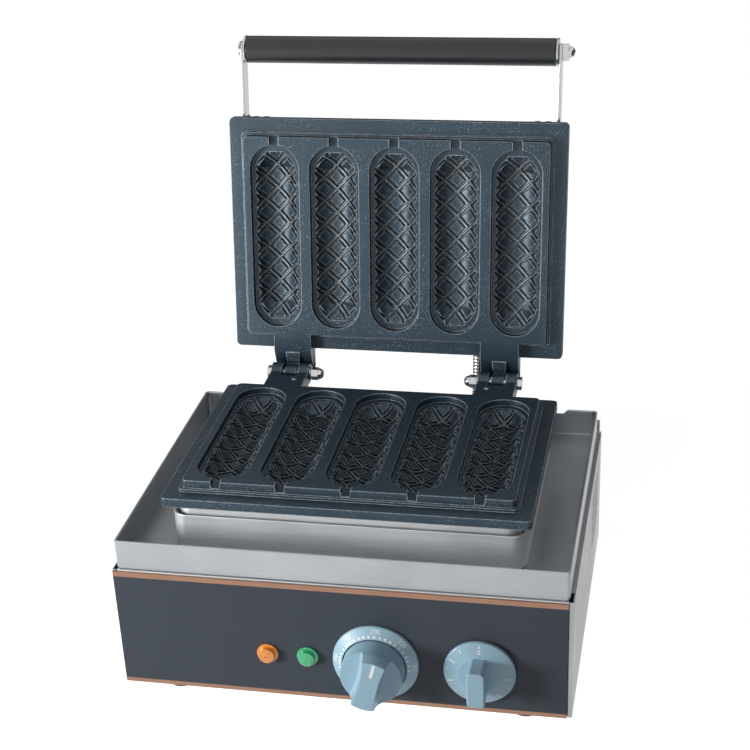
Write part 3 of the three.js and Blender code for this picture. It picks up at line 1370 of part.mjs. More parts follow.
function addLamps() {
  for (const [name, x, lens] of [
    ["orange", ORANGE_LAMP_X, orangeLens],
    ["green", GREEN_LAMP_X, greenLens],
  ]) {
    const cap = turned(
      [
        [0, -LAMP_SHANK_REACH],
        [LAMP_SHANK_RADIUS, -LAMP_SHANK_REACH],
        [LAMP_SHANK_RADIUS, GAP],
        [LAMP_FLANGE_RADIUS, GAP],
        [LAMP_FLANGE_RADIUS, GAP + LAMP_FLANGE],
        [LAMP_CAP_RADIUS, GAP + LAMP_FLANGE],
        [LAMP_CAP_RADIUS, LAMP_CAP_FRONT - GAP],
        [LAMP_CAP_RADIUS - 2 * GAP, LAMP_CAP_FRONT],
        [0, LAMP_CAP_FRONT],
      ],
      ROUND_SIDES,
    ).rotateX(Math.PI);
    place(base, `${name}_lamp_lens`, cap, lens).position.set(x, 0, LAMP_Z);
    const front = PANEL_BACK_Y + GAP;
    const housing = cut(
      barY(LAMP_BODY_RADIUS, front, front + LAMP_BODY_DEPTH, x, LAMP_Z, SMALL_SIDES),
      barY(LAMP_SHANK_RADIUS + GAP, front - OVERRUN, LAMP_SHANK_REACH + GAP, x, LAMP_Z),
    );
    place(base, `${name}_lamp_body`, housing, darkPlastic);
  }
}

function addTerminals() {
  const blockGeometry = block(
    [TERMINAL_BLOCK_X - TERMINAL_BLOCK_WIDTH / 2, TERMINAL_BLOCK_X + TERMINAL_BLOCK_WIDTH / 2],
    [TERMINAL_BLOCK_Y - TERMINAL_BLOCK_DEPTH / 2, TERMINAL_BLOCK_Y + TERMINAL_BLOCK_DEPTH / 2],
    [SHEET + GAP, SHEET + GAP + TERMINAL_BLOCK_HEIGHT],
  );
  place(base, "terminal_block", blockGeometry, darkPlastic);
  const face = BODY_DEPTH + GAP;
  const hex = new THREE.CylinderGeometry(
    acrossFlats(GLAND_FLATS),
    acrossFlats(GLAND_FLATS),
    GLAND_NUT,
    HEX_SIDES,
  ).translate(0, face + GLAND_NUT / 2, 0);
  const cap = barY(GLAND_CAP_RADIUS, face + GLAND_NUT / 2, face + GLAND_NUT + GLAND_CAP, 0, 0);
  const neck = barY(GLAND_NECK_RADIUS, BODY_DEPTH - SHEET - GLAND_CAP, face + OVERRUN, 0, 0);
  const bore = barY(
    GLAND_BORE_RADIUS,
    BODY_DEPTH - SHEET - GLAND_CAP - OVERRUN,
    face + GLAND_NUT + GLAND_CAP + OVERRUN,
    0,
    0,
  );
  const gland = cut(join(hex, cap, neck), bore);
  place(base, "cable_gland", gland, darkPlastic).position.set(GLAND_X, 0, GLAND_Z);
}

addBasePan();
addFrontPanel();
addFascia();
addSidePanels();
addBackPanel();
addFeet();
addOilTray();
addHeaterBox();
addLowerPlate();
addStopScrews();
addUpperPlate();
addHinges();
addLidCover();
addHandle();
addElements();
addConduit();
addThermostat();
addTimer();
addLamps();
addTerminals();

export default root;
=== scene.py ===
"""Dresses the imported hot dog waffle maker: detailed pieces, their finishes, the camera and the light.

Every piece is drawn in millimetres in a frame of its own sub-assembly, and its place goes into its mesh.
"""

import json
import logging
import math
from collections.abc import Callable, Iterable, Sequence
from dataclasses import dataclass, field
from enum import Enum

import bmesh
import bpy
from mathutils import Matrix, Vector

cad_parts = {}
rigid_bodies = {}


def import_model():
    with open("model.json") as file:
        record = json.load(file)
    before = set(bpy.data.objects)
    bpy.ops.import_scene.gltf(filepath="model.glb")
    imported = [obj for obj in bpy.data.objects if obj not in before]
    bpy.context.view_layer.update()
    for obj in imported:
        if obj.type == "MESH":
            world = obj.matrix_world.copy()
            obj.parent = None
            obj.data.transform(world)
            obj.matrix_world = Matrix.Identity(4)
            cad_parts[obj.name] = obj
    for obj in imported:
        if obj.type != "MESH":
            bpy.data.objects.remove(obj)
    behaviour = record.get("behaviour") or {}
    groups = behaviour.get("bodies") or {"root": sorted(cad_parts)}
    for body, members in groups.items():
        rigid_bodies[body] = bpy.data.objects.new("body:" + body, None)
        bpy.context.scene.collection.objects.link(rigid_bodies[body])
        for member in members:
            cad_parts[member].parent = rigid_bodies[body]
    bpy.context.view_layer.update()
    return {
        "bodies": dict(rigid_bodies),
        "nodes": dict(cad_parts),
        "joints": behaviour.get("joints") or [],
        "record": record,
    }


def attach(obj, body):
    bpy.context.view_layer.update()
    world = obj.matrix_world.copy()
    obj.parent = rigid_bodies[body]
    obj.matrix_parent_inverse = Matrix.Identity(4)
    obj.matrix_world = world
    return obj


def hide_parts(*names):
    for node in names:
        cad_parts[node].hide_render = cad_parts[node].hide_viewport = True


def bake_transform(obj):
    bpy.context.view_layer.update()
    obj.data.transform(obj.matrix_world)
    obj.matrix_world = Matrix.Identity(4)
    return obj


LOG = logging.getLogger("waffle_maker")

MM = 0.001
TAU = 2 * math.pi
SIDES = (("left", -1), ("right", 1))
SMOOTH_ANGLE = math.radians(32)
EDGE_ANGLE = math.radians(28)
CAST_ANGLE = math.radians(40)
STRAP_ANGLE = math.radians(60)
FLAT_ANGLE = math.radians(1)
MERGE_DISTANCE = 1e-4
SLANT_SHARE = math.sqrt(0.5)
BEVEL_PROFILE = 0.5
LETTER_RESOLUTION = 3
WIRE_RESOLUTION = 2
NOISE_MIDDLE = 0.5
NOISE_TOP = 0.78
OVERRUN = 1.0
WHITE = (1.0, 1.0, 1.0, 1.0)
BLACK = (0.0, 0.0, 0.0, 1.0)
SRGB_BEND = 0.04045
SRGB_SLOPE = 12.92
SRGB_OFFSET = 0.055
SRGB_POWER = 2.4

Pair = tuple[float, float]
Triple = tuple[float, float, float]
Colour = tuple[float, float, float, float]
Profile = tuple[Pair, ...]
Levels = tuple[Triple, ...]
Inputs = dict[str | int, object]
Socket = bpy.types.NodeSocket


def shift(x: float = 0.0, y: float = 0.0, z: float = 0.0) -> Matrix:
    """A translation."""
    return Matrix.Translation((x, y, z))


def turn(degrees: float, axis: str) -> Matrix:
    """A turn about one of the axes, in degrees."""
    return Matrix.Rotation(math.radians(degrees), 4, axis)


def picked(items: Iterable, kind: type) -> list:
    """The items of one kind, such as vertices, among those that an operator made."""
    return [item for item in items if isinstance(item, kind)]


@dataclass(frozen=True)
class Places:
    """Where the sub-assemblies stand, in millimetres from the fascia's lower front edge."""

    row_shift: Triple = (0.0, -155.516, 14.5)
    hinge_y: float = 251.7
    hinge_z: float = 160.2
    plate_centre_y: float = 132.15
    plate_face_z: float = 155.5
    upper_face_rise: float = 14.3
    open_angle: float = 99.6
    thermostat_x: float = 28.0
    thermostat_turn: float = 15.0
    timer_x: float = 109.4
    knob_z: float = 39.3
    lamp_xs: Pair = (-58.5, -26.3)
    lamp_z: float = 39.5
    lug_x: float = 91.6
    stop_x: float = 84.3

    @property
    def body(self) -> Matrix:
        """The body's frame: X to the right, Y to the back, Z up."""
        return Matrix.Scale(MM, 4) @ shift(*self.row_shift)

    @property
    def lower_plate(self) -> Matrix:
        """The lower plate's frame, with its flange's face at zero and the hinge towards +Y."""
        return self.body @ shift(y=self.plate_centre_y, z=self.plate_face_z)

    @property
    def lid(self) -> Matrix:
        """The lid's frame at the hinge axis, as if the lid were closed, turned open."""
        return self.body @ shift(y=self.hinge_y, z=self.hinge_z) @ turn(-self.open_angle, "X")

    @property
    def upper_plate(self) -> Matrix:
        """The upper plate's frame, with its flange's face at zero and the hinge towards +Y."""
        reach = self.hinge_y - self.plate_centre_y
        return self.lid @ shift(y=-reach, z=self.upper_face_rise) @ turn(180, "Y")

    def on_front(self, x: float, z: float) -> Matrix:
        """A frame on the fascia: X to the right, Y up, Z out towards the front."""
        return self.body @ shift(x=x, z=z) @ turn(90, "X")


PLACES = Places()


class Slot(Enum):
    """The record's material slots."""

    STAINLESS = "stainless"
    CASTING = "coated_casting"
    FASCIA = "fascia_paint"
    KNOB = "knob_plastic"
    DIAL = "dial_metal"
    GRIP = "grip_plastic"
    STEEL = "bright_steel"
    RUBBER = "rubber"
    ORANGE = "orange_lens"
    GREEN = "green_lens"
    PLASTIC = "dark_plastic"
    ELEMENT = "element_sheath"
    SLEEVE = "wire_sleeve"


def linear(hex_colour: str) -> Colour:
    """Turns a colour written as #rrggbb into the linear values that shaders use.

    Args:
        hex_colour: The colour as it looks on a screen.

    Returns:
        Its red, green, blue and opacity.
    """
    channels = [int(hex_colour[start : start + 2], 16) / 255 for start in (1, 3, 5)]
    red, green, blue = (
        c / SRGB_SLOPE if c <= SRGB_BEND else ((c + SRGB_OFFSET) / (1 + SRGB_OFFSET)) ** SRGB_POWER
        for c in channels
    )
    return (red, green, blue, 1.0)


def socket_name(label: str) -> str:
    """The name of a socket, from a keyword with _ for a space."""
    return label.replace("_", " ").title().replace("Ior", "IOR")


class Shader:
    """A node tree in the making, of a material, a world or a group."""

    def __init__(self, tree: bpy.types.NodeTree) -> None:
        """Takes the tree that gets the nodes."""
        self.tree = tree

    def feed(self, node: bpy.types.Node, inputs: Inputs) -> None:
        """Gives a node's inputs, by name or number, a value or a socket to read.

        Args:
            node: The node.
            inputs: The values and sockets.
        """
        for label, value in inputs.items():
            if isinstance(value, Socket):
                self.tree.links.new(value, node.inputs[label])
            else:
                node.inputs[label].default_value = value

    def node(self, kind: str, inputs: Inputs | None = None, **settings: object) -> bpy.types.Node:
        """Adds a node.

        Args:
            kind: Its type, without its ShaderNode prefix.
            inputs: Values and sockets for its inputs, by name or number.
            settings: Properties to set on it.

        Returns:
            The new node.
        """
        node = self.tree.nodes.new(f"ShaderNode{kind}")
        for label, value in settings.items():
            setattr(node, label, value)
        self.feed(node, inputs or {})
        return node

    def reckoned(self, operation: str, *terms: float | Socket) -> Socket:
        """The result of a Math node."""
        return self.node("Math", dict(enumerate(terms)), operation=operation).outputs[0]

    def ranged(self, value: Socket, limits: Inputs, **settings: object) -> Socket:
        """A value taken from one range to another and kept within it."""
        return self.node("MapRange", {"Value": value} | limits, **settings).outputs["Result"]

    def mixed(self, share: Socket, low: Socket, high: Socket, kind: str = "RGBA") -> Socket:
        """Two colours, or two numbers, mixed by a share."""
        inputs = {"Factor": share, "A": low, "B": high}
        return self.node("Mix", inputs, data_type=kind).outputs["Result"]

    def scaled(self, colour: Socket, share: Socket) -> Socket:
        """A colour times a share."""
        inputs = {0: colour, "Scale": share}
        return self.node("VectorMath", inputs, operation="SCALE").outputs[0]


class Group(Shader):
    """A shader node group in the making."""

    def __init__(self, name: str, inputs: dict[str, object]) -> None:
        """Makes the group with its named inputs.

        Args:
            name: The group's name.
            inputs: Default values by socket name; a number, a colour or a vector.
        """
        super().__init__(bpy.data.node_groups.new(name, "ShaderNodeTree"))
        for label, value in inputs.items():
            self._socket(label, "INPUT").default_value = value
        self.source = self.tree.nodes.new("NodeGroupInput").outputs

    def _socket(self, label: str, direction: str) -> bpy.types.NodeTreeInterfaceSocket:
        """Adds one socket of the kind that its name asks for.

        Args:
            label: Its name.
            direction: INPUT or OUTPUT.

        Returns:
            The new socket.
        """
        kind = "NodeSocketFloat"
        if label.endswith("Colour"):
            kind = "NodeSocketColor"
        elif label == "Vector":
            kind = "NodeSocketVector"
        return self.tree.interface.new_socket(label, in_out=direction, socket_type=kind)

    def noise(self, inputs: Inputs) -> Socket:
        """Noise that reads the group's vector."""
        return self.node("TexNoise", {"Vector": self.source["Vector"]} | inputs).outputs["Fac"]

    def finished(self, outputs: dict[str, Socket]) -> bpy.types.NodeTree:
        """Gives the group its outputs.

        Args:
            outputs: What each output gives, by name.

        Returns:
            The group's tree.
        """
        for label in outputs:
            self._socket(label, "OUTPUT")
        self.feed(self.tree.nodes.new("NodeGroupOutput"), outputs)
        return self.tree


@dataclass
class Effects:
    """The shared shader effects, built once."""

    groups: dict[str, bpy.types.NodeTree] = field(default_factory=dict)

    def build(self) -> "Effects":
        """Builds every group.

        Returns:
            The same effects.
        """
        self.groups = {
            "speckle": self._speckle(),
            "brushing": self._brushing(),
            "smudges": self._smudges(),
            "edge_wear_and_highlight": self._edge_wear(),
            "hollow_shade": self._hollows(),
        }
        return self

    def _speckle(self) -> bpy.types.NodeTree:
        """Fine light flecks and dark pits, as in a sprayed coating or a moulded skin.

        Returns:
            The group's tree.
        """
        inputs = {"Vector": (0, 0, 0), "Scale": 900.0, "Base Colour": (0.1, 0.1, 0.1, 1)}
        inputs |= {"Fleck Colour": (0.3, 0.3, 0.3, 1), "Fleck Share": 0.3, "Softness": 0.12}
        group = Group("speckle", inputs)
        source = group.source
        grain = group.noise({"Scale": source["Scale"], "Detail": 3.0, "Roughness": 0.62})
        low = group.reckoned("SUBTRACT", NOISE_TOP, source["Fleck Share"])
        high = group.reckoned("ADD", low, source["Softness"])
        mask = group.ranged(grain, {"From Min": low, "From Max": high})
        colour = group.mixed(mask, source["Base Colour"], source["Fleck Colour"])
        return group.finished({"Colour": colour, "Height": grain})

    def _brushing(self) -> bpy.types.NodeTree:
        """Long fine scratches along one direction, drawn from a stretched vector.

        Returns:
            The group's tree.
        """
        inputs = {"Vector": (0, 0, 0), "Scale": 100.0, "Roughness": 0.3, "Variation": 0.1}
        inputs |= {"Base Colour": (0.6, 0.6, 0.6, 1), "Dark Share": 0.85}
        group = Group("brushing", inputs)
        source = group.source
        grain = group.noise({"Scale": source["Scale"], "Detail": 4.0, "Roughness": 0.7})
        centred = group.reckoned("SUBTRACT", grain, NOISE_MIDDLE)
        roughness = group.reckoned("MULTIPLY_ADD", centred, source["Variation"], source["Roughness"])
        shade = group.ranged(grain, {"From Min": 0.3, "From Max": 0.6, "To Min": source["Dark Share"]})
        colour = group.scaled(source["Base Colour"], shade)
        return group.finished({"Colour": colour, "Roughness": roughness, "Height": grain})

    def _smudges(self) -> bpy.types.NodeTree:
        """Broad soft patches that change a colour and a roughness a little.

        Returns:
            The group's tree.
        """
        inputs = {"Vector": (0, 0, 0), "Scale": 14.0, "Base Colour": (0.5, 0.5, 0.5, 1)}
        inputs |= {"Patch Colour": (0.4, 0.4, 0.4, 1), "Roughness": 0.4, "Patch Roughness": 0.5}
        group = Group("smudges", inputs)
        source = group.source
        patch = group.noise({"Scale": source["Scale"], "Detail": 5.0, "Distortion": 0.6})
        limits = {"From Min": 0.38, "From Max": 0.66}
        mask = group.ranged(patch, limits, interpolation_type="SMOOTHSTEP")
        colour = group.mixed(mask, source["Base Colour"], source["Patch Colour"])
        roughness = group.mixed(mask, source["Roughness"], source["Patch Roughness"], "FLOAT")
        return group.finished({"Colour": colour, "Roughness": roughness})

    def _hollows(self) -> bpy.types.NodeTree:
        """Painted shade: a colour that darkens in grooves and corners, where ambient occlusion finds them.

        Returns:
            The group's tree.
        """
        inputs = {"Base Colour": (0.1, 0.1, 0.1, 1), "Reach": 0.005, "Dark Share": 0.4}
        group = Group("hollow_shade", inputs)
        source = group.source
        # Painted shade: the colour is scaled down where ambient occlusion finds the surface closed in.
        occlusion = group.node("AmbientOcclusion", {"Distance": source["Reach"]}, samples=6)
        limits = {"From Min": 0.25, "From Max": 0.95, "To Min": source["Dark Share"]}
        shade = group.ranged(occlusion.outputs["AO"], limits)
        return group.finished({"Colour": group.scaled(source["Base Colour"], shade)})

    def _edge_wear(self) -> bpy.types.NodeTree:
        """A second colour along outer edges, broken up by noise: partly wear, partly a painted highlight.

        Returns:
            The group's tree.
        """
        inputs = {"Vector": (0, 0, 0), "Base Colour": (0.1, 0.1, 0.1, 1)}
        inputs |= {"Worn Colour": (0.4, 0.4, 0.4, 1), "Reach": 0.0008, "Amount": 0.8}
        group = Group("edge_wear_and_highlight", inputs)
        source = group.source
        # Painted highlight and wear: convex edges found by the Bevel node take the lighter colour.
        rounded = group.node("Bevel", {"Radius": source["Reach"]}, samples=4).outputs["Normal"]
        true = group.node("NewGeometry").outputs["Normal"]
        agree = group.node("VectorMath", {0: rounded, 1: true}, operation="DOT_PRODUCT")
        edge = group.ranged(agree.outputs["Value"], {"From Min": 0.995, "From Max": 0.86})
        grain = group.noise({"Scale": 320.0, "Detail": 3.0})
        broken = group.ranged(grain, {"From Min": 0.32, "From Max": 0.62, "To Min": 0.35})
        mask = group.reckoned("MULTIPLY", group.reckoned("MULTIPLY", edge, broken), source["Amount"])
        colour = group.mixed(mask, source["Base Colour"], source["Worn Colour"])
        return group.finished({"Colour": colour})


class Surface(Shader):
    """One material in the making, around its Principled shader."""

    def __init__(self, name: str, effects: Effects) -> None:
        """Makes a material whose patterns read Object coordinates.

        Args:
            name: Its name.
            effects: The shared effects.
        """
        self.effects = effects
        self.material = bpy.data.materials.new(name)
        self.material.use_nodes = True
        super().__init__(self.material.node_tree)
        self.shader = self.tree.nodes["Principled BSDF"]
        self.place = self.node("TexCoord").outputs["Object"]

    def plain(self, **values: object) -> None:
        """Sets constant values on the shader's own sockets, by name with _ for a space."""
        self.feed(self.shader, {socket_name(label): value for label, value in values.items()})

    def effect(self, name: str, vector: Socket | None = None, **values: object) -> bpy.types.Node:
        """Places a shared effect.

        Args:
            name: The effect's name.
            vector: What its pattern reads, or None for the plain Object coordinates.
            values: Values or sockets by input name, with _ for a space.

        Returns:
            The group node.
        """
        node = self.node("Group", node_tree=self.effects.groups[name])
        if "Vector" in node.inputs:
            self.feed(node, {"Vector": vector or self.place})
        self.feed(node, {socket_name(label): value for label, value in values.items()})
        return node

    def stretched(self, scale: Triple) -> Socket:
        """Object coordinates scaled by axis, so that a pattern runs long where the scale is small."""
        return self.node("Mapping", {"Vector": self.place, "Scale": scale}).outputs["Vector"]

    def dressed(
        self, colour: Socket, roughness: Socket, height: Socket, relief: float
    ) -> bpy.types.Material:
        """Gives the shader what changes over the surface.

        Args:
            colour: The base colour.
            roughness: The roughness.
            height: The pattern that raises the surface.
            relief: How far it does so at most, in metres.

        Returns:
            The finished material.
        """
        bump = self.node("Bump", {"Strength": 1.0, "Distance": relief, "Height": height})
        normal = bump.outputs["Normal"]
        self.feed(self.shader, {"Base Color": colour, "Roughness": roughness, "Normal": normal})
        return self.material


@dataclass(frozen=True)
class MetalFinish:
    """Sheet or turned steel with brush marks along one direction."""

    name: str
    colour: str
    roughness: float
    variation: float
    grain: Triple
    metallic: float = 1.0
    dark_share: float = 0.9
    patch_share: float = 0.9
    rough_share: float = 1.25
    relief: float = 2e-6

    def make(self, effects: Effects) -> bpy.types.Material:
        """Builds the material.

        Args:
            effects: The shared effects.

        Returns:
            The material.
        """
        surface = Surface(self.name, effects)
        surface.plain(metallic=self.metallic)
        colour = linear(self.colour)
        patches = surface.effect(
            "smudges",
            scale=9.0,
            base_colour=colour,
            patch_colour=tuple(c * self.patch_share for c in colour[:3]) + (1.0,),
            roughness=self.roughness,
            patch_roughness=self.roughness * self.rough_share,
        )
        brushed = surface.effect(
            "brushing",
            surface.stretched(self.grain),
            scale=1.0,
            base_colour=patches.outputs["Colour"],
            roughness=patches.outputs["Roughness"],
            variation=self.variation,
            dark_share=self.dark_share,
        )
        colour, roughness, height = brushed.outputs
        return surface.dressed(colour, roughness, height, self.relief)


@dataclass(frozen=True)
class CastingFinish:
    """A baked non-stick coating with a fine metallic fleck, lighter along its edges from wear and a painted
    highlight, and darker in its hollows from painted shade.
    """

    name: str = "coated casting"
    base: str = "#202e39"
    fleck: str = "#8b9dad"
    # Near-white edge colour: partly wear, mostly a painted highlight along the ridge crests.
    worn: str = "#f2f8fd"
    roughness: float = 0.4
    patch_roughness: float = 0.46
    gloss: float = 0.9
    tint: str = "#c8dff0"
    fleck_scale: float = 950.0
    hollow_shade_reach: float = 0.011
    wear_highlight_reach: float = 0.0009
    relief: float = 5e-5

    def make(self, effects: Effects) -> bpy.types.Material:
        """Builds the material.

        Args:
            effects: The shared effects.

        Returns:
            The material.
        """
        surface = Surface(self.name, effects)
        surface.plain(metallic=0.0, specular_ior_level=self.gloss, specular_tint=linear(self.tint))
        speckle = surface.effect(
            "speckle",
            scale=self.fleck_scale,
            base_colour=linear(self.base),
            fleck_colour=linear(self.fleck),
            fleck_share=0.22,
            softness=0.14,
        )
        patches = surface.effect(
            "smudges",
            scale=22.0,
            base_colour=speckle.outputs["Colour"],
            patch_colour=linear(self.base),
            roughness=self.roughness,
            patch_roughness=self.patch_roughness,
        )
        colour, roughness = patches.outputs
        # Painted shade: the coating darkens in the cavities and grooves.
        deep = surface.effect("hollow_shade", base_colour=colour, reach=self.hollow_shade_reach, dark_share=0.1)
        # Lighter edges: partly wear, partly a painted highlight.
        wear_and_highlight = surface.effect(
            "edge_wear_and_highlight",
            base_colour=deep.outputs["Colour"],
            worn_colour=linear(self.worn),
            reach=self.wear_highlight_reach,
            amount=1.0,
        )
        height = speckle.outputs["Height"]
        return surface.dressed(wear_and_highlight.outputs["Colour"], roughness, height, self.relief)


@dataclass(frozen=True)
class PlasticFinish:
    """Moulded plastic or rubber with a fine skin and lighter edges, partly wear and partly a painted
    highlight.
    """

    name: str
    colour: str
    fleck: str
    roughness: float
    # Edge colour, share and reach: partly wear, partly a painted highlight.
    worn: str = "#c4ced3"
    wear_highlight_amount: float = 0.25
    wear_highlight_reach: float = 0.0006
    relief: float = 1.2e-5
    coat: float = 0.0
    rough_rise: float = 0.08

    def make(self, effects: Effects) -> bpy.types.Material:
        """Builds the material.

        Args:
            effects: The shared effects.

        Returns:
            The material.
        """
        surface = Surface(self.name, effects)
        surface.plain(metallic=0.0, coat_weight=self.coat, coat_roughness=0.12)
        speckle = surface.effect(
            "speckle",
            scale=1400.0,
            base_colour=linear(self.colour),
            fleck_colour=linear(self.fleck),
            fleck_share=0.2,
            softness=0.3,
        )
        patches = surface.effect(
            "smudges",
            scale=40.0,
            base_colour=speckle.outputs["Colour"],
            patch_colour=linear(self.colour),
            roughness=self.roughness,
            patch_roughness=self.roughness + self.rough_rise,
        )
        colour, roughness = patches.outputs
        # Lighter edges: partly wear, partly a painted highlight.
        wear_and_highlight = surface.effect(
            "edge_wear_and_highlight",
            base_colour=colour,
            worn_colour=linear(self.worn),
            reach=self.wear_highlight_reach,
            amount=self.wear_highlight_amount,
        )
        height = speckle.outputs["Height"]
        return surface.dressed(wear_and_highlight.outputs["Colour"], roughness, height, self.relief)


@dataclass(frozen=True)
class FasciaFinish:
    """Charcoal film with a copper stripe along its lower and its upper edge."""

    name: str = "fascia film"
    charcoal: str = "#40464e"
    fleck: str = "#4e545d"
    copper: str = "#a07c68"
    grain: Triple = (60.0, 1500.0, 1500.0)
    low_stripe_top: float = 18.3 * MM
    high_stripe_bottom: float = 115.2 * MM
    relief: float = 8e-6

    def make(self, effects: Effects) -> bpy.types.Material:
        """Builds the material.

        Args:
            effects: The shared effects.

        Returns:
            The material.
        """
        surface = Surface(self.name, effects)
        surface.plain(specular_ior_level=0.16)
        height = surface.node("SeparateXYZ", {0: surface.place}).outputs["Z"]
        below = surface.reckoned("LESS_THAN", height, self.low_stripe_top)
        above = surface.reckoned("GREATER_THAN", height, self.high_stripe_bottom)
        stripe = surface.reckoned("ADD", below, above)
        film = surface.effect(
            "speckle",
            scale=1100.0,
            base_colour=linear(self.charcoal),
            fleck_colour=linear(self.fleck),
            fleck_share=0.22,
            softness=0.25,
        )
        metal = surface.effect(
            "brushing",
            surface.stretched(self.grain),
            scale=1.0,
            base_colour=linear(self.copper),
            roughness=0.3,
            variation=0.2,
            dark_share=0.75,
        )
        surface.feed(surface.shader, {"Metallic": stripe})
        colour = surface.mixed(stripe, film.outputs["Colour"], metal.outputs["Colour"])
        patches = surface.effect("smudges", scale=18.0, roughness=0.34, patch_roughness=0.44)
        roughness = patches.outputs["Roughness"]
        return surface.dressed(colour, roughness, film.outputs["Height"], self.relief)


@dataclass(frozen=True)
class LensFinish:
    """Clear coloured lamp plastic."""

    name: str
    colour: str
    deep: str
    relief: float = 2e-5

    def make(self, effects: Effects) -> bpy.types.Material:
        """Builds the material.

        Args:
            effects: The shared effects.

        Returns:
            The material.
        """
        surface = Surface(self.name, effects)
        surface.plain(metallic=0.0, coat_weight=1.0, coat_roughness=0.03, ior=1.49, emission_strength=0.12)
        cells = surface.effect(
            "speckle",
            scale=420.0,
            base_colour=linear(self.deep),
            fleck_colour=linear(self.colour),
            fleck_share=0.45,
            softness=0.3,
        )
        patches = surface.effect(
            "smudges",
            scale=120.0,
            base_colour=cells.outputs["Colour"],
            patch_colour=linear(self.colour),
            roughness=0.12,
            patch_roughness=0.18,
        )
        colour, roughness = patches.outputs
        surface.feed(surface.shader, {"Emission Color": colour})
        return surface.dressed(colour, roughness, cells.outputs["Height"], self.relief)


@dataclass
class Finishes:
    """Every material of the machine, by the part of it that wears it."""

    materials: dict[str, bpy.types.Material] = field(default_factory=dict)

    def build(self) -> "Finishes":
        """Builds the materials.

        Returns:
            The same finishes.
        """
        effects = Effects().build()
        along_x = (25, 900, 900)
        along_y = (900, 25, 900)
        along_z = (900, 900, 25)
        fine = (500, 500, 500)
        coarse = (300, 300, 300)
        recipes = {
            "panel": MetalFinish("brushed sheet", "#bfc1c2", 0.3, 0.14, along_x),
            "flange": MetalFinish("bright flange sheet", "#e4e6e7", 0.42, 0.1, along_x),
            "side": MetalFinish("brushed side sheet", "#a8aaac", 0.36, 0.22, along_y),
            "tray": MetalFinish("tray sheet", "#b2b6ba", 0.3, 0.14, along_x, metallic=0.78),
            "box": MetalFinish("heater box sheet", "#eceef0", 0.5, 0.12, along_x, metallic=0.85),
            "strap": MetalFinish("polished strap", "#c8cacb", 0.22, 0.1, along_z),
            "steel": MetalFinish("plated steel", "#cfd1d2", 0.2, 0.12, fine),
            "element": MetalFinish("element sheath", "#6f6a64", 0.48, 0.2, coarse),
            "casting": CastingFinish(),
            "fascia": FasciaFinish(),
            # The knob's and dial's lighter edges, #d2dde2 at half share, are partly a painted highlight.
            "knob": PlasticFinish("knob plastic", "#94b5c6", "#a0bfcf", 0.38, "#d2dde2", 0.5, coat=0.15),
            "dial": PlasticFinish("dial enamel", "#9ec0d1", "#aac9d8", 0.34, "#d2dde2", 0.5, relief=6e-6),
            "mark": PlasticFinish("white print", "#eef2f3", "#ffffff", 0.5, worn="#ffffff"),
            "grip": PlasticFinish("grip plastic", "#25282b", "#33373b", 0.3, "#5c6165"),
            "rubber": PlasticFinish("rubber", "#1d1e20", "#2a2b2d", 0.8, "#3b3c3e", relief=4e-5),
            "plastic": PlasticFinish("dark plastic", "#232427", "#303236", 0.55, "#4a4c50"),
            "sleeve": PlasticFinish("woven sleeve", "#8c7a4a", "#a8966a", 0.8, "#b9a87c"),
            "orange": LensFinish("orange lens", "#e8901c", "#b85408"),
            "green": LensFinish("green lens", "#2fb573", "#0f7a4a"),
        }
        self.materials = {part: recipe.make(effects) for part, recipe in recipes.items()}
        return self

    def __getitem__(self, part: str) -> bpy.types.Material:
        """The material of one part."""
        return self.materials[part]


class Carving(Enum):
    """What is left when forms are carved with each other."""

    JOINED = "UNION"
    CUT = "DIFFERENCE"
    COMMON = "INTERSECT"


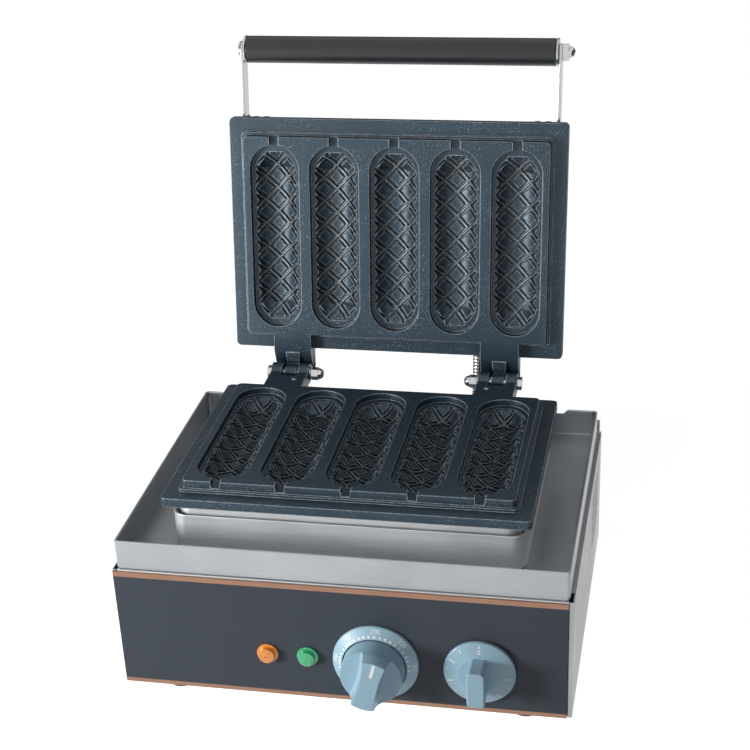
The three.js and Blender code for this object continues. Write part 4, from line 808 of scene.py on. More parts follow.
class Form:
    """A solid in the making, in millimetres, shaped with bmesh operators."""

    def __init__(self) -> None:
        """Starts an empty form."""
        self.bm = bmesh.new()

    @classmethod
    def block(cls, x: Pair, y: Pair, z: Pair) -> "Form":
        """A block.

        Args:
            x: From where to where it reaches along X.
            y: The same along Y.
            z: The same along Z.

        Returns:
            The block.
        """
        form = cls()
        size = Vector((x[1] - x[0], y[1] - y[0], z[1] - z[0]))
        centre = Vector((x[0] + x[1], y[0] + y[1], z[0] + z[1])) / 2
        matrix = Matrix.Translation(centre) @ Matrix.Diagonal((*size, 1.0))
        bmesh.ops.create_cube(form.bm, size=1.0, matrix=matrix)
        return form

    @classmethod
    def turned(cls, profile: Sequence[Pair], steps: int = 64, angle: float = TAU) -> "Form":
        """Spins pairs of radius and height round Z.

        Args:
            profile: The outline, from the axis and back to it, or a closed loop.
            steps: Steps of the spin.
            angle: How far it spins.

        Returns:
            The turned form.
        """
        form = cls()
        corners = [form.bm.verts.new((radius, 0, height)) for radius, height in profile]
        sides = [form.bm.edges.new(pair) for pair in zip(corners, corners[1:])]
        if profile[0][0] > 0 and profile[-1][0] > 0:
            sides.append(form.bm.edges.new((corners[-1], corners[0])))
        bmesh.ops.spin(
            form.bm,
            geom=corners + sides,
            cent=(0, 0, 0),
            axis=(0, 0, 1),
            angle=angle,
            steps=steps,
            use_merge=math.isclose(angle, TAU),
        )
        return form.welded()

    @classmethod
    def rod(cls, radius: float, low: float, high: float, steps: int = 32) -> "Form":
        """A round rod along Z from one height to another."""
        return cls.turned([(0, low), (radius, low), (radius, high), (0, high)], steps)

    @classmethod
    def prism(cls, outline: Sequence[Pair], low: float, high: float) -> "Form":
        """Raises a flat outline in X and Y from one height to another.

        Args:
            outline: Places in X and Y.
            low: Height of its foot.
            high: Height of its top.

        Returns:
            The solid.
        """
        form = cls()
        corners = [form.bm.verts.new((x, y, low)) for x, y in outline]
        bmesh.ops.contextual_create(form.bm, geom=corners)
        return form.thickened(high - low)

    @classmethod
    def frontal(cls, outline: Sequence[Pair], front: float, back: float) -> "Form":
        """Draws an outline in X and Z from one place on Y to another."""
        return cls.prism(outline, -back, -front).moved(turn(90, "X"))

    @classmethod
    def lettered(cls, text: str, size: float, height: float) -> "Form":
        """Letters centred on the origin.

        Args:
            text: The letters.
            size: Their size.
            height: How far they stand above and below z = 0.

        Returns:
            The letters' form.
        """
        curve = bpy.data.curves.new("letters", "FONT")
        curve.body = text
        curve.size = size
        curve.align_x = "CENTER"
        curve.align_y = "CENTER"
        curve.extrude = height
        curve.resolution_u = LETTER_RESOLUTION
        return cls.from_curve(curve)

    @classmethod
    def wire(cls, points: Sequence[Vector], radius: float) -> "Form":
        """A round wire with closed ends.

        Args:
            points: The points that it follows.
            radius: Its radius.

        Returns:
            The wire.
        """
        curve = bpy.data.curves.new("wire", "CURVE")
        curve.dimensions = "3D"
        curve.bevel_depth = radius
        curve.bevel_resolution = WIRE_RESOLUTION
        curve.use_fill_caps = True
        spline = curve.splines.new("POLY")
        spline.points.add(len(points) - 1)
        for target, point in zip(spline.points, points):
            target.co = (*point, 1)
        return cls.from_curve(curve)

    @classmethod
    def from_curve(cls, curve: bpy.types.Curve) -> "Form":
        """The solid that a curve or a text stands for.

        Args:
            curve: The curve, which is used up.

        Returns:
            The form.
        """
        holder = bpy.data.objects.new("curve", curve)
        bpy.context.scene.collection.objects.link(holder)
        bpy.context.view_layer.update()
        mesh = bpy.data.meshes.new_from_object(holder)
        form = cls()
        form.bm.from_mesh(mesh)
        bpy.data.objects.remove(holder)
        bpy.data.meshes.remove(mesh)
        bpy.data.curves.remove(curve)
        return form

    def thickened(self, height: float) -> "Form":
        """Raises a flat form upwards into a solid.

        Args:
            height: How thick it gets.

        Returns:
            The same form.
        """
        result = bmesh.ops.extrude_face_region(self.bm, geom=self.bm.faces[:], use_keep_orig=True)
        raised = picked(result["geom"], bmesh.types.BMVert)
        bmesh.ops.translate(self.bm, verts=raised, vec=(0, 0, height))
        return self.welded()

    def welded(self) -> "Form":
        """Merges doubles and turns the faces outwards.

        Returns:
            The same form.
        """
        bmesh.ops.remove_doubles(self.bm, verts=self.bm.verts[:], dist=MERGE_DISTANCE)
        bmesh.ops.recalc_face_normals(self.bm, faces=self.bm.faces[:])
        return self

    def softened(
        self,
        width: float,
        segments: int = 2,
        where: Callable[[bmesh.types.BMEdge], bool] | None = None,
        sharper_than: float = EDGE_ANGLE,
    ) -> "Form":
        """Bevels the sharp edges.

        Args:
            width: The bevel's width.
            segments: Its segments.
            where: Picks among the sharp edges, or None for all.
            sharper_than: The least angle between the two faces of an edge.

        Returns:
            The same form.
        """
        edges = [
            edge
            for edge in self.bm.edges
            if len(edge.link_faces) == 2
            and edge.calc_face_angle(0) > sharper_than
            and (where is None or where(edge))
        ]
        return self.bevelled(edges, width, segments)

    def bevelled(self, items: list, width: float, segments: int, affect: str = "EDGES") -> "Form":
        """Bevels some edges, or the corners of a flat sheet.

        Args:
            items: The edges or the corners.
            width: The bevel's width.
            segments: Its segments.
            affect: EDGES or VERTICES.

        Returns:
            The same form.
        """
        bmesh.ops.bevel(
            self.bm,
            geom=items,
            offset=width,
            offset_type="OFFSET",
            segments=segments,
            profile=BEVEL_PROFILE,
            affect=affect,
            clamp_overlap=affect == "EDGES",
            material=-1,
        )
        return self

    def moved(self, matrix: Matrix) -> "Form":
        """Moves the whole form.

        Args:
            matrix: The move, which may mirror it.

        Returns:
            The same form.
        """
        bmesh.ops.transform(self.bm, matrix=matrix, verts=self.bm.verts[:])
        if matrix.determinant() < 0:
            bmesh.ops.reverse_faces(self.bm, faces=self.bm.faces[:])
        return self

    def copied(self, matrix: Matrix) -> "Form":
        """A moved copy.

        Args:
            matrix: The copy's move.

        Returns:
            The copy.
        """
        twin = Form()
        twin.bm = self.bm.copy()
        return twin.moved(matrix)

    def with_others(self, *others: "Form") -> "Form":
        """Adds the other forms as loose parts of this one.

        Args:
            others: The forms, which are used up.

        Returns:
            The same form.
        """
        for other in others:
            mesh = other.mesh("part")
            self.bm.from_mesh(mesh)
            bpy.data.meshes.remove(mesh)
        return self

    def mesh(self, name: str) -> bpy.types.Mesh:
        """Writes the form to a mesh and frees it.

        Args:
            name: The mesh's name.

        Returns:
            The mesh.
        """
        mesh = bpy.data.meshes.new(name)
        self.bm.to_mesh(mesh)
        self.bm.free()
        return mesh

    def carved(self, carving: Carving, *others: "Form") -> "Form":
        """Carves this form with others, one after another.

        Args:
            carving: What is left.
            others: The forms that it is carved with.

        Returns:
            The resulting form.
        """
        body = bpy.data.objects.new("carved", self.mesh("carved"))
        tools = [bpy.data.objects.new("tool", other.mesh("tool")) for other in others]
        for scene_object in (body, *tools):
            bpy.context.scene.collection.objects.link(scene_object)
        for tool in tools:
            modifier = body.modifiers.new("carve", "BOOLEAN")
            modifier.operation = carving.value
            modifier.solver = "MANIFOLD"
            modifier.object = tool
        bpy.context.view_layer.update()
        graph = bpy.context.evaluated_depsgraph_get()
        result = Form()
        result.bm.from_object(body, graph)
        for scene_object in (body, *tools):
            mesh = scene_object.data
            bpy.data.objects.remove(scene_object)
            bpy.data.meshes.remove(mesh)
        return result

    def united(self, *others: "Form") -> "Form":
        """Joins other forms to this one."""
        return self.carved(Carving.JOINED, *others)

    def cut_by(self, *others: "Form") -> "Form":
        """Cuts other forms from this one."""
        return self.carved(Carving.CUT, *others)

    def within(self, bound: "Form") -> "Form":
        """Keeps what lies inside another form."""
        return self.carved(Carving.COMMON, bound)


class Stack:
    """A closed rounded rectangle drawn upwards in levels, like a casting or a sheet box."""

    def __init__(self, half_x: float, half_y: float, corner: float, z: float, segments: int = 6) -> None:
        """Starts with the bottom face.

        Args:
            half_x: Half the width.
            half_y: Half the depth.
            corner: Radius of the upright corners.
            z: Height of the bottom.
            segments: Segments of each corner.
        """
        self.form = Form()
        bm = self.form.bm
        matrix = shift(z=z) @ Matrix.Diagonal((half_x, half_y, 1.0, 1.0))
        bmesh.ops.create_grid(bm, x_segments=1, y_segments=1, size=1.0, matrix=matrix)
        self.form.bevelled(bm.verts[:], corner, segments, "VERTICES")
        self.top = bm.faces[:]
        self.raised = False

    def level(self, inset_x: float, inset_y: float, rise: float) -> "Stack":
        """Raises the top face and draws its sides in, or out where the inset is negative.

        Args:
            inset_x: How far its left and right sides are drawn in.
            inset_y: How far its front and back sides are.
            rise: How far it is raised.

        Returns:
            The same stack.
        """
        bm = self.form.bm
        result = bmesh.ops.extrude_face_region(bm, geom=self.top, use_keep_orig=True)
        if self.raised:
            bmesh.ops.delete(bm, geom=self.top, context="FACES_ONLY")
        self.raised = True
        self.top = picked(result["geom"], bmesh.types.BMFace)
        for vert in {vert for face in self.top for vert in face.verts}:
            vert.co.x -= inset_x * math.copysign(1, vert.co.x)
            vert.co.y -= inset_y * math.copysign(1, vert.co.y)
            vert.co.z += rise
        return self

    def levels(self, steps: Iterable[Triple]) -> "Stack":
        """Draws several levels, each an inset in X, an inset in Y and a rise.

        Args:
            steps: The levels in order.

        Returns:
            The same stack.
        """
        for step in steps:
            self.level(*step)
        return self

    def done(self) -> Form:
        """The closed form, its faces turned outwards."""
        return self.form.welded()


def piece(
    name: str,
    form: Form,
    place: Matrix,
    body: str,
    slot: Slot,
    material: bpy.types.Material,
    *nodes: str,
) -> bpy.types.Object:
    """Finishes a form as a piece that rides on a body.

    Args:
        name: The piece's name.
        form: Its shape in millimetres.
        place: Its frame.
        body: The body that carries it, or nothing where it is blended.
        slot: The record's slot for its finish; not used.
        material: Its material.
        nodes: The CAD nodes that it stands for.

    Returns:
        The finished object.
    """
    mesh = form.mesh(name)
    mesh.transform(place)
    mesh.materials.append(material)
    mesh.shade_smooth()
    mesh.set_sharp_from_angle(angle=SMOOTH_ANGLE)
    scene_object = bpy.data.objects.new(name, mesh)
    bpy.context.scene.collection.objects.link(scene_object)
    weighted = scene_object.modifiers.new("weighted", "WEIGHTED_NORMAL")
    weighted.keep_sharp = True
    if body:
        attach(scene_object, body)
    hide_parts(*nodes)
    LOG.info("%s: %d faces on %s", name, len(mesh.polygons), body or "a blend")
    return scene_object


@dataclass(frozen=True)
class Relief:
    """The crossed ridges of a cavity, on a round trough whose ends are drawn in."""

    axis_rise: float = 8.7
    reach: float = 20.4
    groove: float = 2.2
    pitch: float = 20.4
    straight: float = 58.7
    end: float = 72.7
    end_reach: float = 12.95
    end_wall: float = 1.5
    lift: float = 1.5
    cutter_top: float = 1.0
    groove_profile: Profile = (
        (0.0, 0.0), (0.45, 0.0), (0.65, 0.12), (0.98, 0.8), (1.25, 1.0), (2.5, 1.0), (2.78, 0.82),
        (3.12, 0.14), (3.35, 0.0), (5.3, 0.0), (7.2125, 0.0),
    )
    bounds: tuple[tuple[Pair, Pair], ...] = (
        ((19.6, 0.0), (1.0, 0.0)),
        ((0.0, 74.4), (0.0, 1.0)),
        ((19.6, 60.0), (14.4, 8.1)),
    )
    seams: tuple[float, ...] = (58.7, 72.7, 73.5)

    def groove_share(self, distance: float) -> float:
        """How deep the groove is at a distance from a ridge's middle, as a share.

        Args:
            distance: The distance.

        Returns:
            Zero on the ridge to one in the groove.
        """
        for (low, start), (high, end) in zip(self.groove_profile, self.groove_profile[1:]):
            if distance <= high:
                return start + (end - start) * (distance - low) / (high - low)
        return 0.0

    def reach_at(self, y: float) -> float:
        """Radius of the grooves' floor at a place along the cavity.

        Args:
            y: The place.

        Returns:
            The radius.
        """
        beyond = abs(y) - self.straight
        if beyond <= 0:
            return self.reach
        taper = (self.reach - self.end_reach) / (self.end - self.straight)
        if abs(y) <= self.end:
            return self.reach - taper * beyond
        return self.end_reach * (1 - (abs(y) - self.end) / self.end_wall)

    def depth(self, x: float, y: float) -> float:
        """Depth below the step's floor; negative above it.

        Args:
            x: Place across the cavity.
            y: Place along it.

        Returns:
            The depth.
        """
        spacing = self.pitch * SLANT_SHARE
        rows = ((x + y) * SLANT_SHARE, (y - x) * SLANT_SHARE)
        distance = min(abs(row - round(row / spacing) * spacing) for row in rows)
        radius = self.reach_at(y) - self.groove * (1 - self.groove_share(distance))
        if radius <= abs(x):
            return -self.lift
        return max(math.sqrt(radius**2 - x**2) - self.axis_rise, -self.lift)

    def cutter(self, floor: float, top: float) -> Form:
        """The solid that carves one cavity's relief.

        Args:
            floor: Height of the step's floor.
            top: Height of the panel's face.

        Returns:
            The cutter, whose underside is the relief.
        """
        form = Form()
        bm = form.bm
        lines = self._grid_lines()
        cells = len(lines) - 1
        bmesh.ops.create_grid(bm, x_segments=2 * cells, y_segments=2 * cells, size=cells)
        for vert in bm.verts:
            vert.co.x = math.copysign(lines[round(abs(vert.co.x))], vert.co.x)
            vert.co.y = math.copysign(lines[round(abs(vert.co.y))], vert.co.y)
        bmesh.ops.rotate(bm, cent=(0, 0, 0), matrix=Matrix.Rotation(TAU / 8, 3, "Z"), verts=bm.verts[:])
        for (px, py), (nx, ny) in self.bounds:
            for side_x in (1, -1) if nx else (1,):
                for side_y in (1, -1) if ny else (1,):
                    self._trim(bm, (px * side_x, py * side_y), (nx * side_x, ny * side_y), True)
        for seam in self.seams:
            for side in (1, -1):
                self._trim(bm, (0, seam * side), (0, side), False)
        for vert in bm.verts:
            vert.co.z = floor - self.depth(vert.co.x, vert.co.y)
        result = bmesh.ops.extrude_face_region(bm, geom=bm.faces[:], use_keep_orig=True)
        for vert in picked(result["geom"], bmesh.types.BMVert):
            vert.co.z = top + self.cutter_top
        bmesh.ops.recalc_face_normals(bm, faces=bm.faces[:])
        flat = [face for face in bm.faces if all(v.co.z > top + self.cutter_top / 2 for v in face.verts)]
        bmesh.ops.dissolve_faces(bm, faces=flat)
        return form

    def _grid_lines(self) -> list[float]:
        """Places of the sheet's lines on one side of its middle, close where the grooves bend.

        Returns:
            The places in order.
        """
        spacing = self.pitch * SLANT_SHARE
        half_periods = math.ceil((self.end + self.reach) * SLANT_SHARE / (spacing / 2))
        offsets = [offset for offset, _ in self.groove_profile]
        lines = []
        for number in range(half_periods):
            start = number * spacing / 2
            part = offsets if number % 2 == 0 else [spacing / 2 - o for o in reversed(offsets)]
            lines += [start + offset for offset in part[:-1]]
        return lines + [half_periods * spacing / 2]

    def _trim(self, bm: bmesh.types.BMesh, point: Pair, normal: Pair, clear: bool) -> None:
        """Draws a straight cut across the sheet.

        Args:
            bm: The sheet.
            point: A point of the cut.
            normal: What way the cut faces.
            clear: Whether what lies beyond it goes.
        """
        bmesh.ops.bisect_plane(
            bm,
            geom=bm.verts[:] + bm.edges[:] + bm.faces[:],
            dist=MERGE_DISTANCE,
            plane_co=(*point, 0),
            plane_no=(*normal, 0),
            clear_outer=clear,
        )


@dataclass
class CookingPlate:
    """A cast plate: flange, plinth, raised panel and five cavities with their stick slots."""

    axis_z: float = 0.0
    corner: float = 4.0
    face: float = 0.0
    panel_top: float = 9.0
    step_floor: float = 3.5
    cavity_xs: tuple[float, ...] = (-104.0, -52.0, 0.0, 52.0, 104.0)
    start: Triple = (126.0, 81.75, -14.0)
    levels: Levels = (
        (-0.5, -0.5, 0.5), (-0.5, -0.5, 5.5), (-17.2, -17.2, 0.0), (-0.5, -0.3, 0.15),
        (-0.3, -0.5, 0.45), (0.0, 0.0, 6.6), (0.25, 0.25, 0.5), (0.55, 0.55, 0.3),
        (10.1, 10.9, 0.0), (0.1, 0.1, 1.9), (0.15, 0.15, 0.35), (0.4, 0.4, 0.15), (1.75, 1.75, 0.0),
        (0.35, 0.35, 5.75), (0.25, 0.25, 0.55), (0.6, 0.6, 0.3),
    )
    step_straight: float = 58.25
    step_profile: Profile = (
        (0.0, 3.5), (20.2, 3.5), (20.7, 3.65), (20.9, 4.15), (21.15, 8.3), (21.45, 8.8),
        (22.1, 9.02), (22.1, 10.0), (0.0, 10.0),
    )
    slot_outline: Profile = (
        (2.9, 3.5), (3.4, 3.7), (3.6, 4.2), (3.75, 8.3), (4.0, 8.8), (4.6, 9.02), (4.6, 10.0),
    )
    slot_reach: Pair = (-90.0, -60.0)
    lug_half: float = 16.8
    lug_root: float = 84.0
    axis_y: float = 119.55
    bore: float = 3.25
    lug_edge: float = 0.6
    arc_steps: int = 20
    relief: Relief = field(default_factory=Relief)

    def blank(self) -> Form:
        """The plate without lugs or cavities."""
        half_x, half_y, z = self.start
        return Stack(half_x, half_y, self.corner, z).levels(self.levels).done()

    def cutters(self) -> list[Form]:
        """The steps, the stick slots and the reliefs of all five cavities, one form for each kind.

        Returns:
            The three forms.
        """
        step = Form.turned(self.step_profile, steps=24, angle=math.pi)
        step.moved(shift(y=self.step_straight))
        bm = step.bm
        rim = [edge for edge in bm.edges if edge.is_boundary]
        result = bmesh.ops.extrude_edge_only(bm, edges=rim)
        ends = picked(result["geom"], bmesh.types.BMVert)
        bmesh.ops.translate(bm, verts=ends, vec=(0, -self.step_straight, 0))
        geometry = bm.verts[:] + bm.edges[:] + bm.faces[:]
        bmesh.ops.mirror(bm, geom=geometry, axis="Y", merge_dist=MERGE_DISTANCE)
        step.welded()
        outline = list(self.slot_outline) + [(-x, z) for x, z in reversed(self.slot_outline)]
        low, high = self.slot_reach
        slot = Form.prism(outline, -high, -low).moved(turn(90, "X"))
        relief = self.relief.cutter(self.step_floor, self.panel_top)
        kinds = []
        for shape in (step, slot, relief):
            copies = [shape.copied(shift(x=x)) for x in self.cavity_xs]
            shape.bm.free()
            kinds.append(copies[0].with_others(*copies[1:]))
        return kinds

    def arc(self, radius: float, angles: Pair) -> list[Pair]:
        """Points round the hinge axis.

        Args:
            radius: Their distance from it.
            angles: The first and the last point's angle in degrees.

        Returns:
            Their places in Y and Z.
        """
        start, end = angles
        points = []
        for step in range(self.arc_steps + 1):
            angle = math.radians(start + (end - start) * step / self.arc_steps)
            points.append((self.axis_y + radius * math.cos(angle), self.axis_z + radius * math.sin(angle)))
        return points

    def sideways(self, outline: Sequence[Pair], left: float, right: float) -> Form:
        """An outline drawn along X, with its edges rounded.

        Args:
            outline: Places in Y and Z.
            left: Where it starts.
            right: Where it ends.

        Returns:
            The solid.
        """
        upright = Matrix(((0, 0, 1, 0), (1, 0, 0, 0), (0, 1, 0, 0), (0, 0, 0, 1)))
        form = Form.prism(outline, left, right)
        return form.softened(self.lug_edge, sharper_than=CAST_ANGLE).moved(upright)

    def bolt_hole(self, left: float, right: float) -> Form:
        """The cutter for a bolt's bore along the hinge axis."""
        hole = Form.rod(self.bore, left - OVERRUN, right + OVERRUN)
        return hole.moved(shift(y=self.axis_y, z=self.axis_z) @ turn(90, "Y"))


@dataclass
class LowerPlate(CookingPlate):
    """The lower plate, whose lugs end in two ears each."""

    axis_z: float = 4.7
    root_z: float = -2.0
    web_end: float = 105.55
    web_inset: float = 1.0
    ear: float = 9.5
    ear_barrel: float = 8.5
    ear_angles: Pair = (-90.0, 149.6)
    stop_y: float = 98.55
    stop_radius: float = 2.25
    stop_reach: Pair = (4.7, 12.0)

    def build(self, finishes: Finishes) -> None:
        """Casts the plate and stands it in for its CAD node.

        Args:
            finishes: The machine's materials.
        """
        low, high = (self.lug_root, self.root_z), (self.lug_root, self.panel_top)
        web = [low, (self.web_end, self.root_z), (self.web_end, self.panel_top), high]
        ear = [low, *self.arc(self.ear_barrel, self.ear_angles), high]
        lugs = []
        holes = []
        for _, side in SIDES:
            centre = side * PLACES.lug_x
            left, right = centre - self.lug_half, centre + self.lug_half
            lugs.append(self.sideways(web, left + self.web_inset, right - self.web_inset))
            lugs.append(self.sideways(ear, left, left + self.ear))
            lugs.append(self.sideways(ear, right - self.ear, right))
            stop = Form.rod(self.stop_radius, *self.stop_reach, steps=24)
            stop.moved(shift(x=side * PLACES.stop_x, y=self.stop_y))
            holes += [self.bolt_hole(left, right), stop]
        form = self.blank().united(*lugs).cut_by(*self.cutters(), *holes)
        coating = finishes["casting"]
        piece("lower_plate_casting", form, PLACES.lower_plate, "base", Slot.CASTING, coating, "lower_plate")


@dataclass
class UpperPlate(CookingPlate):
    """The upper plate, whose lugs end in one tongue each."""

    axis_z: float = 14.3
    back_z: float = -8.0
    slope_end: float = -1.0
    face_end: float = 17.5
    recess_start: float = 14.5
    barrel: float = 6.4
    barrel_angles: Pair = (-10.0, 180.0)
    tongue_half: float = 5.1
    tongue_reach: float = 17.0
    tongue_back: float = 3.2
    tongue_top: float = 9.5
    neck_end: float = 4.0
    neck_low: float = 7.9
    neck_inset: float = 0.13
    root_start: float = 12.0
    root_share: float = 1.28

    def build(self, finishes: Finishes) -> None:
        """Casts the plate and stands it in for its CAD node.

        Args:
            finishes: The machine's materials.
        """
        axis = self.axis_y
        lug = [
            (self.lug_root, self.back_z),
            (axis - self.slope_end, self.back_z),
            (axis - self.slope_end, self.face),
            (axis - self.recess_start, self.face),
            (axis - self.face_end, self.panel_top),
            (self.lug_root, self.panel_top),
        ]
        barrel = [
            (axis - self.barrel, self.back_z),
            (axis + self.tongue_back, self.back_z),
            *self.arc(self.barrel, self.barrel_angles),
        ]
        neck = [
            (axis - self.tongue_reach, self.back_z),
            (axis - self.neck_end, self.back_z),
            (axis - self.neck_end, self.neck_low),
            (axis - self.tongue_reach, self.tongue_top),
        ]
        lugs = []
        holes = []
        for _, side in SIDES:
            centre = side * PLACES.lug_x
            lugs.append(self.sideways(lug, centre - self.lug_half, centre + self.lug_half))
            left, right = centre - self.tongue_half, centre + self.tongue_half
            lugs.append(self.sideways(barrel, left, right))
            form = self.sideways(neck, left + self.neck_inset, right - self.neck_inset)
            for vert in form.bm.verts:
                if vert.co.y < axis - self.root_start:
                    vert.co.x = centre + (vert.co.x - centre) * self.root_share
            lugs.append(form)
            holes.append(self.bolt_hole(left, right))
        form = self.blank().united(*lugs).cut_by(*self.cutters(), *holes)
        coating = finishes["casting"]
        piece("upper_plate_casting", form, PLACES.upper_plate, "lid", Slot.CASTING, coating, "upper_plate")


@dataclass
class OilTray:
    """The shallow tray: a folded sheet with a hem along its rim and a lowered rear wall."""

    half_x: float = 176.2
    half_y: float = 130.2
    centre_y: float = 134.0
    corner: float = 3.0
    bottom: float = 106.3
    levels: Levels = (
        (-0.35, -0.35, 0.15), (-0.25, -0.25, 0.45), (0.0, 0.0, 23.1), (0.15, 0.15, 0.6),
        (0.35, 0.35, 0.35), (0.6, 0.6, 0.15), (0.6, 0.6, -0.15), (0.35, 0.35, -0.35),
        (0.15, 0.15, -0.6), (0.0, 0.0, -2.6), (-0.2, -0.2, -0.3), (-0.8, -0.8, -0.1),
        (0.0, 0.0, -18.95), (0.25, 0.25, -0.4), (0.5, 0.5, -0.15),
    )
    notch: Profile = (
        (-147.0, 126.6), (147.0, 126.6), (151.5, 131.1), (151.5, 133.0), (-151.5, 133.0),
        (-151.5, 131.1),
    )
    notch_depth: Pair = (261.0, 266.0)

    def build(self, finishes: Finishes) -> None:
        """Folds the tray and stands it in for its CAD node.

        Args:
            finishes: The machine's materials.
        """
        tray = Stack(self.half_x, self.half_y, self.corner, self.bottom).levels(self.levels).done()
        tray.moved(shift(y=self.centre_y))
        form = tray.cut_by(Form.frontal(self.notch, *self.notch_depth))
        piece("oil_tray_sheet", form, PLACES.body, "base", Slot.STAINLESS, finishes["tray"], "oil_tray")


@dataclass
class HeaterBox:
    """The sheet box round the lower element, with its liner."""

    centre_y: float = 132.0
    corner: float = 12.0
    half_x: float = 139.2
    half_y: float = 94.2
    bottom: float = 107.8
    levels: Levels = (
        (-0.5, -0.5, 0.2), (-0.3, -0.3, 0.6), (0.0, 0.0, 28.9), (0.2, 0.2, 0.35), (0.4, 0.4, 0.15),
        (0.4, 0.4, -0.15), (0.2, 0.2, -0.35), (0.0, 0.0, -28.1), (0.4, 0.4, -0.4),
    )
    corner_segments: int = 10
    liner_half_x: float = 136.0
    liner_half_y: float = 91.0
    liner_bottom: float = 109.3
    liner_levels: Levels = (
        (0.0, 0.0, 37.6), (0.3, 0.3, 0.3), (0.6, 0.6, 0.0), (0.3, 0.3, -0.3), (0.0, 0.0, -37.4),
    )

    def build(self, finishes: Finishes) -> None:
        """Folds both and stands them in for their CAD nodes.

        Args:
            finishes: The machine's materials.
        """
        place = PLACES.body @ shift(y=self.centre_y)
        sheet = finishes["box"]
        box = Stack(self.half_x, self.half_y, self.corner, self.bottom, self.corner_segments)
        form = box.levels(self.levels).done()
        piece("heater_box_wrap", form, place, "base", Slot.STAINLESS, sheet, "heater_box")
        liner = Stack(
            self.liner_half_x, self.liner_half_y, self.corner, self.liner_bottom, self.corner_segments
        )
        form = liner.levels(self.liner_levels).done()
        piece("heater_box_inner", form, place, "base", Slot.STAINLESS, sheet, "heater_box_liner")


@dataclass
class BodyShell:
    """The sheet body and the control fascia on its front."""

    fascia_x: Pair = (-179.5, 176.1)
    fascia_y: Pair = (0.0, 1.2)
    fascia_z: Pair = (0.0, 105.0)
    fascia_edge: float = 0.25
    shaft_hole: float = 5.0
    lamp_hole: float = 5.2
    hole_depth: Pair = (-1.0, 3.0)
    sheet_edge: float = 0.35
    sheets: tuple[tuple[str, str], ...] = (
        ("back_panel", "panel"),
        ("base_pan", "panel"),
        ("front_panel", "flange"),
        ("left_side_panel", "side"),
        ("right_side_panel", "side"),
    )

    def build(self, finishes: Finishes) -> None:
        """Folds the body's sheets and stands them in for their CAD nodes.

        Args:
            finishes: The machine's materials.
        """
        fascia = Form.block(self.fascia_x, self.fascia_y, self.fascia_z).softened(self.fascia_edge)
        knob_xs = (PLACES.thermostat_x, PLACES.timer_x)
        holes = [self._hole(x, PLACES.knob_z, self.shaft_hole) for x in knob_xs]
        holes += [self._hole(x, PLACES.lamp_z, self.lamp_hole) for x in PLACES.lamp_xs]
        form = fascia.cut_by(*holes)
        piece("fascia_plate", form, PLACES.body, "base", Slot.FASCIA, finishes["fascia"], "control_fascia")
        for node, sheet in self.sheets:
            self._sheet(node, finishes[sheet])

    def _sheet(self, node: str, material: bpy.types.Material) -> None:
        """Stands a copy of a CAD node, with its edges rounded, in the node's place.

        Args:
            node: The node's name.
            material: The sheet's material.
        """
        form = Form()
        bm = form.bm
        bm.from_mesh(bpy.data.objects[node].data)
        form.moved(Matrix.Scale(1 / MM, 4)).welded()
        bmesh.ops.dissolve_limit(bm, angle_limit=FLAT_ANGLE, verts=bm.verts[:], edges=bm.edges[:])
        form.softened(self.sheet_edge)
        piece(f"{node}_sheet", form, Matrix.Scale(MM, 4), "base", Slot.STAINLESS, material, node)

    def _hole(self, x: float, z: float, radius: float) -> Form:
        """A cutter for one round hole through the fascia."""
        front, back = self.hole_depth
        return Form.rod(radius, -back, -front).moved(shift(x=x, z=z) @ turn(90, "X"))


def on_cone(cone: tuple[Pair, Pair], angle: float, radius: float) -> Matrix:
    """A frame on a cone's face: Y outwards down the slope, Z off the surface.

    Args:
        cone: Radius and height of the face's inner edge, then of its outer edge.
        angle: Degrees clockwise from the top.
        radius: The frame's distance from the middle.

    Returns:
        The frame.
    """
    (inner, high), (outer, low) = cone
    slope = (high - low) / (outer - inner)
    height = high - (radius - inner) * slope
    return turn(-angle, "Z") @ shift(y=radius, z=height) @ turn(-math.degrees(math.atan(slope)), "X")


